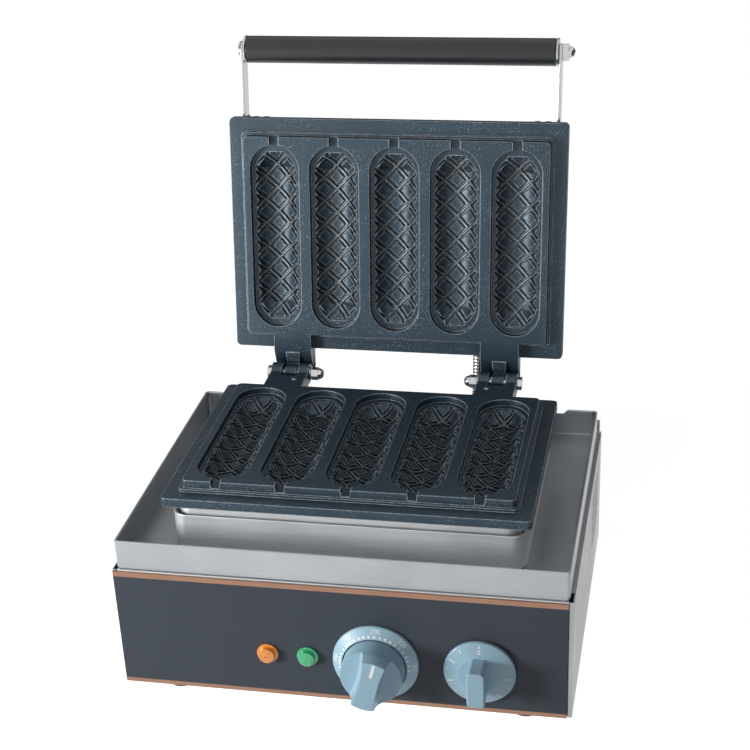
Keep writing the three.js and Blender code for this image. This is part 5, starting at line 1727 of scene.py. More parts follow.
@dataclass
class Thermostat:
    """Dial ring with its printed scale, and the knob with its grip bar."""

    dial_profile: Profile = (
        (17.0, 0.3), (33.8, 0.3), (34.0, 0.5), (34.0, 1.6), (33.9, 2.1), (33.6, 2.5), (33.2, 2.8),
        (26.0, 7.7), (25.75, 7.75), (25.6, 7.5), (25.5, 2.3), (17.0, 2.3),
    )
    cone: tuple[Pair, Pair] = ((26.0, 7.7), (33.2, 2.8))
    skirt_profile: Profile = (
        (0.0, 4.5), (14.0, 4.5), (14.0, 6.5), (23.9, 6.5), (24.4, 6.8), (24.6, 7.4), (24.4, 21.2),
        (24.1, 21.75), (23.5, 22.0), (0.0, 22.0),
    )
    bar_half: float = 9.2
    waist_half: float = 7.5
    bar_end: float = 22.3
    end_radius: float = 25.5
    bar_levels: Levels = (
        (20.5, 4.6, 4.0), (22.0, 3.6, 3.2), (22.6, 2.5, 2.7), (24.0, 1.6, 2.3), (27.0, 0.7, 1.6),
        (31.0, 0.2, 0.7), (34.0, 0.0, 0.0),
    )
    bar_bound: float = 24.4
    bar_edge: float = 0.7
    outline_steps: int = 14
    pointer_half: Pair = (1.25, 6.2)
    pointer_y: float = 15.6
    print_height: float = 0.08
    dot_radius: float = 1.1
    dot_ring: float = 27.5
    dot_angles: tuple[float, ...] = (
        93, 84, 74, 66, 56, 47, 38, 29, 20, 11, 2, -7,
        -16, -24, -33, -42, -51, -60, -69, -77, -83, -89, -97, -103,
    )
    number_ring: float = 30.9
    number_size: float = 5.4
    numbers: tuple[tuple[str, float], ...] = (
        ("100", -83.5),
        ("150", -41.5),
        ("200", 3.0),
        ("250", 45.5),
        ("300", 90.0),
    )

    def bar_outline(self, widened: float, lengthened: float) -> list[Pair]:
        """Outline of the grip bar at one level: a waist and round ends.

        Args:
            widened: How far each side stands outside the front's.
            lengthened: How far each end stands outside the front's.

        Returns:
            The outline's points.
        """
        half = self.bar_half + widened
        sag = self.end_radius - math.sqrt(self.end_radius**2 - half**2)
        corner_y = self.bar_end + lengthened - sag
        points = []
        for step in range(self.outline_steps):
            y = corner_y * (2 * step / self.outline_steps - 1)
            waist = (self.bar_half - self.waist_half) * (y / corner_y) ** 2
            points.append((self.waist_half + widened + waist, y))
        for step in range(self.outline_steps):
            x = half * (1 - 2 * step / self.outline_steps)
            rise = math.sqrt(self.end_radius**2 - x**2) - math.sqrt(self.end_radius**2 - half**2)
            points.append((x, corner_y + rise))
        return points + [(-x, -y) for x, y in points]

    def bar(self) -> Form:
        """The grip bar, whose hollow sides run out into the knob's face.

        Returns:
            The bar.
        """
        form = Form()
        bm = form.bm
        rings = []
        for height, widened, lengthened in self.bar_levels:
            verts = [bm.verts.new((x, y, height)) for x, y in self.bar_outline(widened, lengthened)]
            rings.append([bm.edges.new(pair) for pair in zip(verts, verts[1:] + verts[:1])])
        for lower, upper in zip(rings, rings[1:]):
            bmesh.ops.bridge_loops(bm, edges=lower + upper)
        bmesh.ops.edgenet_fill(bm, edges=rings[0])
        bmesh.ops.edgenet_fill(bm, edges=rings[-1])
        bmesh.ops.recalc_face_normals(bm, faces=bm.faces[:])
        low, high = self.bar_levels[0][0], self.bar_levels[-1][0]
        rim = high - self.print_height
        form.softened(self.bar_edge, segments=3, where=lambda edge: all(v.co.z > rim for v in edge.verts))
        return form.within(Form.rod(self.bar_bound, low, high + OVERRUN, steps=96))

    def scale(self) -> Form:
        """The dots and the numbers printed on the ring.

        Returns:
            The scale.
        """
        scale = Form()
        height = self.print_height
        dot = Form.rod(self.dot_radius, -height, height, steps=12)
        for angle in self.dot_angles:
            scale.with_others(dot.copied(on_cone(self.cone, angle, self.dot_ring)))
        dot.bm.free()
        for text, angle in self.numbers:
            number = Form.lettered(text, self.number_size, height)
            scale.with_others(number.moved(on_cone(self.cone, angle, self.number_ring)))
        return scale

    def build(self, finishes: Finishes) -> None:
        """Makes the dial, its scale and the knob.

        Args:
            finishes: The machine's materials.
        """
        place = PLACES.on_front(PLACES.thermostat_x, PLACES.knob_z)
        dial = Form.turned(self.dial_profile, steps=96)
        piece("dial_ring", dial, place, "base", Slot.DIAL, finishes["dial"], "thermostat_dial")
        piece("dial_scale", self.scale(), place, "base", Slot.DIAL, finishes["mark"])
        body = "thermostat_dial_knob"
        place = place @ turn(-PLACES.thermostat_turn, "Z")
        knob = Form.turned(self.skirt_profile, steps=96).united(self.bar())
        piece("dial_knob", knob, place, body, Slot.KNOB, finishes["knob"], "thermostat_knob")
        half_x, half_y = self.pointer_half
        front = self.bar_levels[-1][0]
        pointer = Form.block(
            (-half_x, half_x),
            (self.pointer_y - half_y, self.pointer_y + half_y),
            (front - self.print_height, front + self.print_height),
        )
        piece("dial_knob_pointer", pointer, place, body, Slot.KNOB, finishes["mark"])


@dataclass
class Timer:
    """The timer's knob: a cone skirt with its scale, and the grip bar."""

    skirt_profile: Profile = (
        (0.0, 0.6), (27.3, 0.6), (27.8, 0.9), (28.0, 1.5), (28.0, 3.4), (27.75, 3.85), (27.2, 4.25),
        (16.0, 7.84), (15.5, 8.0), (15.2, 8.0), (0.0, 8.0),
    )
    bar_half: float = 6.9
    bar_length: float = 15.7
    bar_corner: float = 3.4
    bar_low: float = 6.0
    bar_high: float = 28.0
    bar_edge: float = 1.3
    cone: tuple[Pair, Pair] = ((15.5, 8.0), (28.0, 4.0))
    print_height: float = 0.1
    mark_half: float = 0.42
    marks: tuple[Triple, ...] = (
        (0.0, 23.4, 26.2), (-37.0, 23.2, 25.8), (-63.0, 20.5, 26.2), (-84.0, 23.8, 26.0),
        (-109.0, 21.2, 26.2), (-133.0, 24.2, 25.8), (-219.0, 21.2, 26.2), (-243.0, 24.2, 25.8),
        (-263.0, 20.5, 26.2),
    )
    zero_ring: float = 20.6
    zero_size: float = 5.2

    def build(self, finishes: Finishes) -> None:
        """Makes the knob and its scale.

        Args:
            finishes: The machine's materials.
        """
        place = PLACES.on_front(PLACES.timer_x, PLACES.knob_z)
        body = "timer_dial_knob"
        stack = Stack(self.bar_half, self.bar_length, self.bar_corner, self.bar_low, segments=5)
        bar = stack.level(0, 0, self.bar_high - self.bar_low).done()
        foot = self.bar_low + OVERRUN
        bar.softened(self.bar_edge, segments=4, where=lambda edge: all(v.co.z > foot for v in edge.verts))
        knob = Form.turned(self.skirt_profile, steps=96).united(bar)
        piece("timer_cone_knob", knob, place, body, Slot.KNOB, finishes["knob"], "timer_knob")
        scale = Form()
        height = self.print_height
        for angle, inner, outer in self.marks:
            half = (outer - inner) / 2
            mark = Form.block((-self.mark_half, self.mark_half), (-half, half), (-height, height))
            scale.with_others(mark.moved(on_cone(self.cone, angle, (inner + outer) / 2)))
        zero = Form.lettered("0", self.zero_size, height)
        scale.with_others(zero.moved(on_cone(self.cone, 0, self.zero_ring)))
        piece("timer_scale", scale, place, body, Slot.KNOB, finishes["mark"])


@dataclass
class Lamps:
    """The two indicator lamps: a collar and a domed lens each."""

    lamps: tuple[tuple[str, Slot], ...] = (("orange", Slot.ORANGE), ("green", Slot.GREEN))
    profile: Profile = (
        (0.0, -9.0), (4.8, -9.0), (4.8, 0.3), (8.2, 0.3), (8.6, 0.6), (8.6, 1.4), (8.3, 1.8),
        (7.7, 1.9), (6.7, 1.95), (6.6, 2.2), (6.6, 4.9), (6.3, 5.5), (5.6, 5.9), (4.6, 6.0),
        (0.0, 6.0),
    )

    def build(self, finishes: Finishes) -> None:
        """Turns both lenses.

        Args:
            finishes: The machine's materials.
        """
        for (colour, slot), x in zip(self.lamps, PLACES.lamp_xs):
            lens = Form.turned(self.profile, steps=64)
            place = PLACES.on_front(x, PLACES.lamp_z)
            piece(f"{colour}_lens", lens, place, "base", slot, finishes[colour], f"{colour}_lamp_lens")


@dataclass
class Feet:
    """The four rubber feet and their screws."""

    places: tuple[tuple[str, float, float], ...] = (
        ("front_left", -141.5, 28.0),
        ("front_right", 141.5, 28.0),
        ("rear_left", -141.5, 246.0),
        ("rear_right", 141.5, 246.0),
    )
    profile: Profile = (
        (5.5, -14.0), (6.0, -14.5), (10.7, -14.5), (11.3, -14.2), (11.6, -13.6), (12.9, -1.4),
        (12.8, -0.7), (12.3, -0.3), (2.3, -0.3), (2.3, -6.5), (5.5, -6.5),
    )
    screw_profile: Profile = (
        (0.0, -9.3), (3.0, -9.3), (3.9, -8.7), (4.2, -7.9), (4.2, -6.8), (2.0, -6.8), (2.0, 7.2),
        (0.0, 7.2),
    )

    def build(self, finishes: Finishes) -> None:
        """Makes the feet and their screws.

        Args:
            finishes: The machine's materials.
        """
        rubber, steel = finishes["rubber"], finishes["steel"]
        for corner, x, y in self.places:
            place = PLACES.body @ shift(x=x, y=y)
            foot = Form.turned(self.profile, steps=48)
            piece(f"{corner}_pad", foot, place, "base", Slot.RUBBER, rubber, f"{corner}_foot")
            screw = Form.turned(self.screw_profile, steps=32)
            node = f"{corner}_foot_screw"
            piece(f"{corner}_pad_screw", screw, place, "base", Slot.STEEL, steel, node)


@dataclass
class Hinges:
    """Bolts, washers, domed nuts and stop screws of the two hinges."""

    head_flats: float = 10.0
    hole_reach: float = 17.1
    head: float = 4.0
    shank: float = 3.0
    shank_top: float = 18.0
    washer: Profile = (
        (3.3, 0.0), (5.7, 0.0), (6.0, 0.25), (6.0, 0.95), (5.7, 1.2), (3.3, 1.2),
    )
    washer_thickness: float = 1.2
    nut_gap: float = 0.3
    nut_hex: float = 6.2
    dome: float = 5.0
    chamfer: float = 0.45
    stop_y: float = 230.7
    stop_profile: Profile = (
        (0.0, 5.0), (2.0, 5.0), (2.0, 9.0), (1.5, 9.35), (0.9, 9.5), (0.0, 9.5),
    )

    def build(self, finishes: Finishes) -> None:
        """Makes the hardware of both hinges.

        Args:
            finishes: The machine's materials.
        """
        steel = finishes["steel"]
        washer_end = self.hole_reach + self.washer_thickness
        for name, side in SIDES:
            axis = PLACES.body @ shift(x=side * PLACES.lug_x, y=PLACES.hinge_y, z=PLACES.hinge_z)
            place = axis @ turn(side * 90, "Y")
            shank = Form.rod(self.shank, -washer_end - self.nut_hex, self.shank_top, steps=24)
            head = hex_head(self.head_flats, self.head, self.chamfer).moved(shift(z=self.hole_reach))
            bolt = shank.united(head)
            piece(f"{name}_pivot_bolt", bolt, place, "base", Slot.STEEL, steel, f"{name}_hinge_bolt")
            washer = Form.turned(self.washer, steps=40).moved(shift(z=-washer_end))
            piece(f"{name}_pivot_washer", washer, place, "base", Slot.STEEL, steel, f"{name}_hinge_washer")
            nut = acorn_nut(self.head_flats, self.nut_hex, self.dome, self.chamfer)
            nut.moved(shift(z=-washer_end - self.nut_gap) @ turn(180, "X"))
            piece(f"{name}_pivot_nut", nut, place, "base", Slot.STEEL, steel, f"{name}_hinge_nut")
            stop = Form.turned(self.stop_profile, steps=24)
            place = PLACES.body @ shift(side * PLACES.stop_x, self.stop_y, PLACES.plate_face_z)
            piece(f"{name}_stop", stop, place, "base", Slot.STEEL, steel, f"{name}_stop_screw")


@dataclass
class LidCover:
    """The drawn sheet cover behind the upper plate."""

    half_x: float = 139.5
    half_y: float = 95.25
    centre_y: float = -119.55
    corner: float = 12.0
    bottom: float = 22.6
    levels: Levels = (
        (0.0, 0.0, 19.0), (0.25, 0.25, 1.0), (0.65, 0.65, 0.9), (0.95, 0.95, 0.7),
        (1.15, 1.15, 0.4),
    )
    corner_segments: int = 12
    wall: float = 1.2

    def build(self, finishes: Finishes) -> None:
        """Draws the cover and stands it in for its CAD node.

        Args:
            finishes: The machine's materials.
        """
        shell = Stack(self.half_x, self.half_y, self.corner, self.bottom, self.corner_segments)
        form = shell.levels(self.levels).done()
        rim = self.bottom + MERGE_DISTANCE
        open_side = [face for face in form.bm.faces if all(v.co.z < rim for v in face.verts)]
        bmesh.ops.delete(form.bm, geom=open_side, context="FACES_ONLY")
        place = PLACES.lid @ shift(y=self.centre_y)
        sheet = finishes["panel"]
        cover = piece("lid_cover_sheet", form, place, "lid", Slot.STAINLESS, sheet, "lid_cover")
        thick = cover.modifiers.new("wall", "SOLIDIFY")
        thick.thickness = self.wall * MM
        thick.offset = -1
        cover.modifiers.move(cover.modifiers.find("wall"), 0)


@dataclass
class Handle:
    """The grip on its rod between two bent straps."""

    grip_y: float = -275.3
    grip_z: float = 34.3
    grip_profile: Profile = (
        (4.3, -131.4), (10.4, -131.4), (11.0, -131.1), (11.3, -130.5), (11.3, 130.5), (11.0, 131.1),
        (10.4, 131.4), (4.3, 131.4),
    )
    cap_profile: Profile = (
        (4.3, 131.7), (11.3, 131.7), (11.6, 132.0), (11.6, 133.3), (11.2, 133.7), (4.3, 133.7),
    )
    arm_inner: float = 134.0
    arm_thickness: float = 2.5
    arm_half: float = 7.0
    arm_foot: float = 26.0
    seat_y: float = -215.1
    bend: float = 2.5
    bend_steps: int = 8
    end_steps: int = 10
    arm_edge: float = 0.4
    screw_shares: Pair = (0.25, 0.6)
    screw_profile: Profile = (
        (0.0, -6.0), (1.8, -6.0), (1.8, 0.0), (2.9, 0.0), (3.1, 0.2), (2.9, 0.6), (2.2, 0.95),
        (1.2, 1.1), (0.0, 1.15),
    )
    rod_radius: float = 4.0
    rod_head: Profile = (
        (0.0, 0.0), (6.7, 0.0), (7.0, 0.35), (6.8, 1.1), (5.9, 1.8), (4.2, 2.35), (2.2, 2.56),
        (0.0, 2.6),
    )
    gap: float = 0.3
    nut_flats: float = 12.6
    nut_hex: float = 5.2
    nut_dome: float = 4.9
    chamfer: float = 0.5

    def arm(self) -> Form:
        """The right arm: a foot on the cover, a bend, and a strap with a round end.

        Returns:
            The arm.
        """
        form = Form()
        bm = form.bm
        start_x = self.arm_inner + self.arm_thickness - self.arm_foot
        front = self.seat_y - self.arm_thickness
        low, high = self.grip_z - self.arm_half, self.grip_z + self.arm_half
        outline = ((self.seat_y, low), (front, low), (front, high), (self.seat_y, high))
        face = bm.faces.new([bm.verts.new((start_x, y, z)) for y, z in outline])
        bend_x, bend_y = self.arm_inner - self.bend, front - self.bend
        run = self._extruded(bm, [face], (bend_x - start_x, 0, 0))
        arc = bmesh.ops.spin(
            bm,
            geom=run,
            cent=(bend_x, bend_y, 0),
            axis=(0, 0, 1),
            angle=-TAU / 4,
            steps=self.bend_steps,
        )
        last = picked(arc["geom_last"], bmesh.types.BMFace)
        end_y = self.grip_y - self.arm_half
        self._extruded(bm, last, (0, end_y - bend_y, 0))
        for old in run + last:
            if old.is_valid:
                bm.faces.remove(old)
        form.welded()
        ends = self._ends(bm, axis=1, place=end_y), self._ends(bm, axis=0, place=start_x)
        for edges, width in zip(ends, (self.arm_half - self.arm_edge, self.bend)):
            form.bevelled(edges, width, self.end_steps)
        return form.softened(self.arm_edge, sharper_than=STRAP_ANGLE)

    def _extruded(self, bm: bmesh.types.BMesh, faces: list, reach: Triple) -> list:
        """Extrudes faces along a line.

        Args:
            bm: The arm's mesh.
            faces: The faces.
            reach: The way and how far.

        Returns:
            The new faces.
        """
        result = bmesh.ops.extrude_face_region(bm, geom=faces, use_keep_orig=True)
        new = picked(result["geom"], bmesh.types.BMFace)
        verts = list({vert for face in new for vert in face.verts})
        bmesh.ops.translate(bm, verts=verts, vec=reach)
        return new

    def _ends(self, bm: bmesh.types.BMesh, axis: int, place: float) -> list[bmesh.types.BMEdge]:
        """The strap's short edges that lie at a place along an axis.

        Args:
            bm: The arm's mesh.
            axis: Zero for X or one for Y.
            place: The place.

        Returns:
            The edges.
        """
        return [
            edge
            for edge in bm.edges
            if all(abs(v.co[axis] - place) < self.gap for v in edge.verts)
            and abs(edge.verts[0].co.z - edge.verts[1].co.z) < self.gap
        ]

    def build(self, finishes: Finishes) -> None:
        """Makes the whole handle.

        Args:
            finishes: The machine's materials.
        """
        steel, strap = finishes["steel"], finishes["strap"]
        along = PLACES.lid @ shift(y=self.grip_y, z=self.grip_z) @ turn(90, "Y")
        grip = Form.turned(self.grip_profile, steps=72)
        piece("grip_bar", grip, along, "lid", Slot.GRIP, finishes["grip"], "handle_grip")
        outer = self.arm_inner + self.arm_thickness
        screw_y = self.seat_y - self.arm_thickness - self.gap
        right_arm = self.arm()
        for name, side in SIDES:
            cap = Form.turned(self.cap_profile, steps=72).moved(turn(0 if side > 0 else 180, "X"))
            piece(f"{name}_grip_end", cap, along, "lid", Slot.STAINLESS, strap, f"{name}_grip_cap")
            arm = right_arm.copied(Matrix.Diagonal((side, 1, 1, 1)))
            piece(f"{name}_strap", arm, PLACES.lid, "lid", Slot.STAINLESS, strap, f"{name}_handle_arm")
            for share, which in zip(self.screw_shares, ("inner", "outer")):
                x = side * (outer - self.arm_foot + self.arm_foot * share)
                place = PLACES.lid @ shift(x, screw_y, self.grip_z) @ turn(90, "X")
                screw = Form.turned(self.screw_profile, steps=32)
                node = f"{name}_arm_screw_{which}"
                piece(f"{name}_strap_screw_{which}", screw, place, "lid", Slot.STEEL, steel, node)
        right_arm.bm.free()
        face = outer + self.gap
        rod = Form.rod(self.rod_radius, -face - OVERRUN, face + self.nut_hex - self.gap)
        head = Form.turned(self.rod_head, steps=48).moved(shift(z=-face) @ turn(180, "X"))
        piece("grip_rod", rod.united(head), along, "lid", Slot.STEEL, steel, "handle_rod")
        nut = acorn_nut(self.nut_flats, self.nut_hex, self.nut_dome, self.chamfer)
        nut.moved(shift(z=face))
        piece("grip_rod_nut", nut, along, "lid", Slot.STEEL, steel, "handle_nut")


def hex_head(flats: float, height: float, chamfer: float) -> Form:
    """A hexagonal head on z = 0, its upper corners chamfered.

    Args:
        flats: Width across flats.
        height: Height of the head.
        chamfer: Size of the chamfer.

    Returns:
        The head.
    """
    form = Form()
    corner_radius = flats / math.sqrt(3)
    bmesh.ops.create_circle(form.bm, cap_ends=True, segments=6, radius=corner_radius)
    form.thickened(height)
    shoulder = height - chamfer
    profile = [
        (0.0, -OVERRUN),
        (corner_radius + OVERRUN, -OVERRUN),
        (corner_radius + OVERRUN, shoulder),
        (corner_radius - chamfer / 2, shoulder),
        (flats / 2, height),
        (0.0, height),
    ]
    return form.within(Form.turned(profile, steps=48)).softened(chamfer / 3, segments=1)


def acorn_nut(flats: float, hex_height: float, dome: float, chamfer: float) -> Form:
    """A domed nut on z = 0 that points along Z.

    Args:
        flats: Width across flats.
        hex_height: Height of the hexagon.
        dome: Radius of the dome.
        chamfer: Size of the hexagon's chamfer.

    Returns:
        The nut.
    """
    profile = [(0.0, hex_height / 2), (dome, hex_height / 2)]
    steps = 10
    for step in range(steps + 1):
        angle = TAU / 4 * step / steps
        profile.append((dome * math.cos(angle), hex_height + dome * math.sin(angle)))
    return hex_head(flats, hex_height, chamfer).united(Form.turned(profile, steps=40))


@dataclass
class Conduit:
    """The wound steel conduit that takes the wires from the heater box to the lid, and its collars."""

    x: float = 70.0
    lid_face: float = -17.7
    lid_z: float = 33.6
    box_face: float = 233.6
    box_z: float = 131.0
    straight: float = 9.3
    lead: float = 32.0
    coil_radius: float = 3.8
    wire_radius: float = 1.3
    pitch: float = 3.0
    turn_steps: int = 20
    path_samples: int = 400
    bundle_radius: float = 2.3
    bundle_stride: int = 6
    collar_flats: float = 12.0
    collar_length: float = 6.0
    collar_bore: float = 3.2
    collar_gap: float = 0.3
    chamfer: float = 0.5

    def path(self) -> list[Vector]:
        """The conduit's middle line in the body's frame, in even steps.

        Returns:
            Its points, from the lid to the box.
        """
        to_body = shift(y=PLACES.hinge_y, z=PLACES.hinge_z) @ turn(-PLACES.open_angle, "X")
        start, start_end, start_lead = (
            to_body @ Vector((self.x, self.lid_face + reach, self.lid_z))
            for reach in (0.0, self.straight, self.straight + self.lead)
        )
        end, end_start, end_lead = (
            Vector((self.x, self.box_face + reach, self.box_z))
            for reach in (0.0, self.straight, self.straight + self.lead)
        )
        points = [start]
        for step in range(self.path_samples + 1):
            t = step / self.path_samples
            point = start_end * (1 - t) ** 3 + start_lead * (3 * t * (1 - t) ** 2)
            points.append(point + end_lead * (3 * t**2 * (1 - t)) + end_start * t**3)
        return points + [end]

    def helix(self) -> list[Vector]:
        """Points of the wire round the middle line.

        Returns:
            The points in order.
        """
        path = self.path()
        reach = [0.0]
        for before, after in zip(path, path[1:]):
            reach.append(reach[-1] + (after - before).length)
        length = reach[-1]
        turns = math.floor((length - 2 * self.wire_radius) / self.pitch)
        start = (length - turns * self.pitch) / 2
        points = []
        stretch = 0
        side = Vector((1, 0, 0))
        for step in range(turns * self.turn_steps + 1):
            distance = start + self.pitch * step / self.turn_steps
            while reach[stretch + 1] < distance:
                stretch += 1
            low, high = path[stretch], path[stretch + 1]
            share = (distance - reach[stretch]) / (reach[stretch + 1] - reach[stretch])
            up = side.cross((high - low).normalized()).normalized()
            angle = TAU * distance / self.pitch
            offset = side * math.cos(angle) + up * math.sin(angle)
            points.append(low.lerp(high, share) + offset * self.coil_radius)
        return points

    def collar(self) -> Form:
        """A hexagonal collar with its bore."""
        bore = Form.rod(self.collar_bore, -OVERRUN, self.collar_length + OVERRUN)
        return hex_head(self.collar_flats, self.collar_length, self.chamfer).cut_by(bore)

    def build(self, finishes: Finishes) -> None:
        """Winds the conduit and makes its wires and its collars.

        Args:
            finishes: The machine's materials.
        """
        steel = finishes["steel"]
        path = self.path()
        spring = Form.wire(self.helix(), self.wire_radius)
        coil = piece("conduit_coil", spring, PLACES.body, "", Slot.STEEL, steel, "wire_conduit")
        bundle = Form.wire(path[:: self.bundle_stride], self.bundle_radius)
        sleeve = finishes["sleeve"]
        wires = piece("conduit_wire_bundle", bundle, PLACES.body, "", Slot.SLEEVE, sleeve, "conduit_wires")
        for soft in (coil, wires):
            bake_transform(soft)
        place = PLACES.lid @ shift(self.x, self.lid_face - self.collar_gap, self.lid_z) @ turn(90, "X")
        piece("lid_collar", self.collar(), place, "lid", Slot.STEEL, steel, "lid_conduit_collar")
        place = PLACES.body @ shift(self.x, self.box_face - self.collar_gap, self.box_z) @ turn(90, "X")
        piece("box_collar", self.collar(), place, "base", Slot.STEEL, steel, "box_conduit_collar")


@dataclass
class CableGland:
    """The gland at the back, where the mains lead goes in."""

    x: float = -120.0
    z: float = 26.0
    back_y: float = 274.3
    flats: float = 20.0
    nut: float = 8.0
    chamfer: float = 0.8
    bore: float = 4.5
    bore_reach: Pair = (-9.0, 16.0)
    cap_profile: Profile = (
        (4.5, 4.0), (8.5, 4.0), (8.5, 11.5), (8.0, 13.0), (7.0, 13.8), (5.2, 14.0), (4.5, 13.6),
    )
    neck_profile: Profile = ((4.5, -7.3), (7.5, -7.3), (7.5, 1.0), (4.5, 1.0))

    def build(self, finishes: Finishes) -> None:
        """Makes the gland.

        Args:
            finishes: The machine's materials.
        """
        cap = Form.turned(self.cap_profile, steps=48)
        neck = Form.turned(self.neck_profile, steps=48)
        body = hex_head(self.flats, self.nut, self.chamfer).united(cap, neck)
        gland = body.cut_by(Form.rod(self.bore, *self.bore_reach, steps=40))
        place = PLACES.body @ shift(x=self.x, y=self.back_y, z=self.z) @ turn(-90, "X")
        piece("lead_gland", gland, place, "base", Slot.PLASTIC, finishes["plastic"], "cable_gland")


def stage_sheet(name: str, half: float, segments: int) -> tuple[bpy.types.Object, Shader]:
    """Lays a flat sheet that belongs to the studio.

    Args:
        name: Its name.
        half: Half its width.
        segments: Its cells along a side.

    Returns:
        The sheet and its material's shader, still plain.
    """
    form = Form()
    bmesh.ops.create_grid(form.bm, x_segments=segments, y_segments=segments, size=half)
    mesh = form.mesh(name)
    material = bpy.data.materials.new(name)
    material.use_nodes = True
    mesh.materials.append(material)
    sheet = bpy.data.objects.new(name, mesh)
    bpy.context.scene.collection.objects.link(sheet)
    return sheet, Shader(material.node_tree)


@dataclass(frozen=True)
class Lamp:
    """A soft area lamp: width and height in metres, power in watts, and its place."""

    name: str
    size: Pair
    energy: float
    place: Triple
    mirrored: bool = False

    def hang(self, target: Triple) -> None:
        """Hangs the lamp so that it faces a point; gloss reflects it only if it is mirrored.

        Args:
            target: The point.
        """
        data = bpy.data.lights.new(self.name, "AREA")
        data.shape = "RECTANGLE"
        data.size, data.size_y = self.size
        data.energy = self.energy
        lamp = bpy.data.objects.new(self.name, data)
        lamp.location = self.place
        aim = Vector(target) - Vector(self.place)
        lamp.rotation_euler = aim.to_track_quat("-Z", "Y").to_euler()
        lamp.visible_glossy = self.mirrored
        bpy.context.scene.collection.objects.link(lamp)


@dataclass(frozen=True)
class Flag:
    """A grey card outside the picture for the gloss to reflect, raised from lying flat."""

    name: str
    size: Pair
    grey: float
    place: Triple
    raised: float = 0.0
    turned: float = 0.0

    def stand(self) -> None:
        """Stands the card where only reflections see it."""
        card, shader = stage_sheet(self.name, half=0.5, segments=1)
        inputs = {"Base Color": BLACK, "Specular IOR Level": 0.0}
        inputs |= {"Emission Color": WHITE, "Emission Strength": self.grey}
        shader.feed(shader.tree.nodes["Principled BSDF"], inputs)
        facing = turn(self.turned, "Z") @ turn(self.raised, "X")
        card.matrix_world = shift(*self.place) @ facing @ Matrix.Diagonal((*self.size, 1, 1))
        card.visible_camera = False
        card.visible_diffuse = False
        card.visible_shadow = False


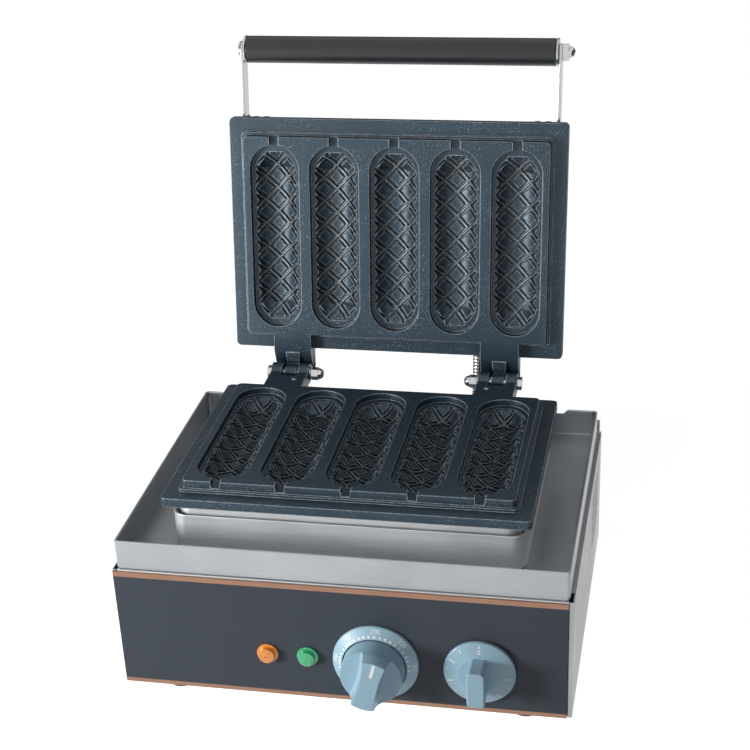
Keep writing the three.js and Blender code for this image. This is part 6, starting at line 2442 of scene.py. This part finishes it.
@dataclass
class Studio:
    """Camera, floor, world and lamps."""

    camera_at: Triple = (258.14, -1030.96, 801.61)
    azimuth: float = 12.80
    elevation: float = 28.70
    roll: float = -2.91
    focal_pixels: float = 1665.9
    principal: Pair = (360.3, 454.1)
    frame_pixels: float = 750.0
    sensor: float = 36.0
    world_strength: float = 0.14
    floor_half: float = 4.0
    floor_colour: str = "#d8d8d8"
    floor_roughness: float = 0.9
    floor_glow: float = 0.86
    target: Triple = (0.0, 0.0, 0.18)
    lamps: tuple[Lamp, ...] = (
        Lamp("key", (0.45, 0.45), 25.0, (-1.3, -0.98, 0.36), mirrored=True),
        Lamp("top", (1.0, 0.7), 3.5, (-0.2, -0.75, 2.1)),
        Lamp("fill", (1.4, 1.0), 2.0, (1.2, -2.0, 0.9)),
    )
    flags: tuple[Flag, ...] = (
        Flag("rear flag", (4.0, 1.5), 0.2, (0.3, 1.7, 0.85), raised=90.0),
        Flag("right flag", (3.4, 1.6), 0.06, (1.8, 0.0, 0.85), raised=90.0, turned=90.0),
        Flag("left flag", (3.4, 1.6), 0.12, (-1.8, 0.0, 0.85), raised=90.0, turned=90.0),
        Flag("right floor flag", (1.3, 1.6), 0.04, (1.15, -0.4, 0.003)),
        Flag("left floor flag", (1.3, 1.4), 0.3, (-1.15, 0.1, 0.003)),
    )

    def camera(self) -> None:
        """Places the camera at the photograph's viewing angle."""
        azimuth, elevation, roll = (math.radians(a) for a in (self.azimuth, self.elevation, self.roll))
        level = math.cos(elevation)
        back = Vector((math.sin(azimuth) * level, -math.cos(azimuth) * level, math.sin(elevation)))
        across = Vector((0, 0, 1)).cross(back).normalized()
        up = back.cross(across)
        rolled_x = across * math.cos(roll) + up * math.sin(roll)
        rolled_y = up * math.cos(roll) - across * math.sin(roll)
        data = bpy.data.cameras.new("camera")
        data.sensor_width = self.sensor
        data.lens = self.focal_pixels * self.sensor / self.frame_pixels
        middle = self.frame_pixels / 2
        data.shift_x = (middle - self.principal[0]) / self.frame_pixels
        data.shift_y = (self.principal[1] - middle) / self.frame_pixels
        camera = bpy.data.objects.new("camera", data)
        axes = Matrix((rolled_x, rolled_y, back)).transposed().to_4x4()
        axes.translation = PLACES.body @ Vector(self.camera_at)
        camera.matrix_world = axes
        bpy.context.scene.collection.objects.link(camera)
        bpy.context.scene.camera = camera

    def world(self) -> None:
        """White for what the camera and mirrors see, and moderate as a light."""
        world = bpy.data.worlds.new("studio")
        bpy.context.scene.world = world
        world.use_nodes = True
        shader = Shader(world.node_tree)
        strength = shader.ranged(self._seen(shader), {"To Min": self.world_strength})
        shader.feed(shader.tree.nodes["Background"], {"Color": WHITE, "Strength": strength})

    def _seen(self, shader: Shader) -> Socket:
        """One where the camera, a reflection or a view through glass looks, else zero.

        Args:
            shader: The shader that asks.

        Returns:
            The one or zero.
        """
        path = shader.node("LightPath").outputs
        total = shader.reckoned("MAXIMUM", path["Is Camera Ray"], path["Is Glossy Ray"])
        return shader.reckoned("MAXIMUM", total, path["Is Transmission Ray"])

    def floor(self) -> None:
        """A pale floor that keeps the machine's shadow."""
        _, shader = stage_sheet("floor", self.floor_half, segments=8)
        glow = shader.reckoned("MULTIPLY", self._seen(shader), self.floor_glow)
        inputs = {"Base Color": linear(self.floor_colour), "Roughness": self.floor_roughness}
        inputs |= {"Emission Color": WHITE, "Emission Strength": glow}
        shader.feed(shader.tree.nodes["Principled BSDF"], inputs)

    def build(self) -> None:
        """Sets up the whole studio."""
        bpy.context.scene.view_settings.view_transform = "Standard"
        self.camera()
        self.world()
        self.floor()
        for lamp in self.lamps:
            lamp.hang(self.target)
        for flag in self.flags:
            flag.stand()


@dataclass
class CarriedNodes:
    """CAD nodes that keep their shape and only get their finish."""

    finish_by_node: tuple[tuple[str, str], ...] = (
        ("lower_heating_element", "element"),
        ("upper_heating_element", "element"),
        ("thermostat_body", "plastic"),
        ("timer_body", "plastic"),
        ("orange_lamp_body", "plastic"),
        ("green_lamp_body", "plastic"),
        ("terminal_block", "plastic"),
        ("thermostat_shaft", "steel"),
        ("timer_shaft", "steel"),
    )
    finish_by_slot: tuple[tuple[Slot, str], ...] = (
        (Slot.STAINLESS, "panel"),
        (Slot.CASTING, "casting"),
        (Slot.FASCIA, "fascia"),
        (Slot.KNOB, "knob"),
        (Slot.DIAL, "dial"),
        (Slot.GRIP, "grip"),
        (Slot.STEEL, "steel"),
        (Slot.RUBBER, "rubber"),
        (Slot.ORANGE, "orange"),
        (Slot.GREEN, "green"),
        (Slot.PLASTIC, "plastic"),
        (Slot.ELEMENT, "element"),
        (Slot.SLEEVE, "sleeve"),
    )

    def build(self, finishes: Finishes, frame: dict) -> None:
        """Gives each node the finish named for it, or else its slot's.

        Args:
            finishes: The machine's materials.
            frame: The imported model.
        """
        by_node = dict(self.finish_by_node)
        by_slot = {slot.value: finish for slot, finish in self.finish_by_slot}
        for name, node in frame["nodes"].items():
            for slot in node.material_slots:
                carried = slot.material.name.split(".")[0]
                slot.material = finishes[by_node.get(name, by_slot[carried])]


def main() -> None:
    """Builds the scene."""
    logging.basicConfig(level=logging.INFO, format="%(name)s: %(message)s")
    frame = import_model()
    Studio().build()
    finishes = Finishes().build()
    CarriedNodes().build(finishes, frame)
    for part in (
        LowerPlate(),
        UpperPlate(),
        BodyShell(),
        OilTray(),
        HeaterBox(),
        Thermostat(),
        Timer(),
        Lamps(),
        Feet(),
        Hinges(),
        LidCover(),
        Handle(),
        Conduit(),
        CableGland(),
    ):
        part.build(finishes)


if __name__ == "__main__":
    main()
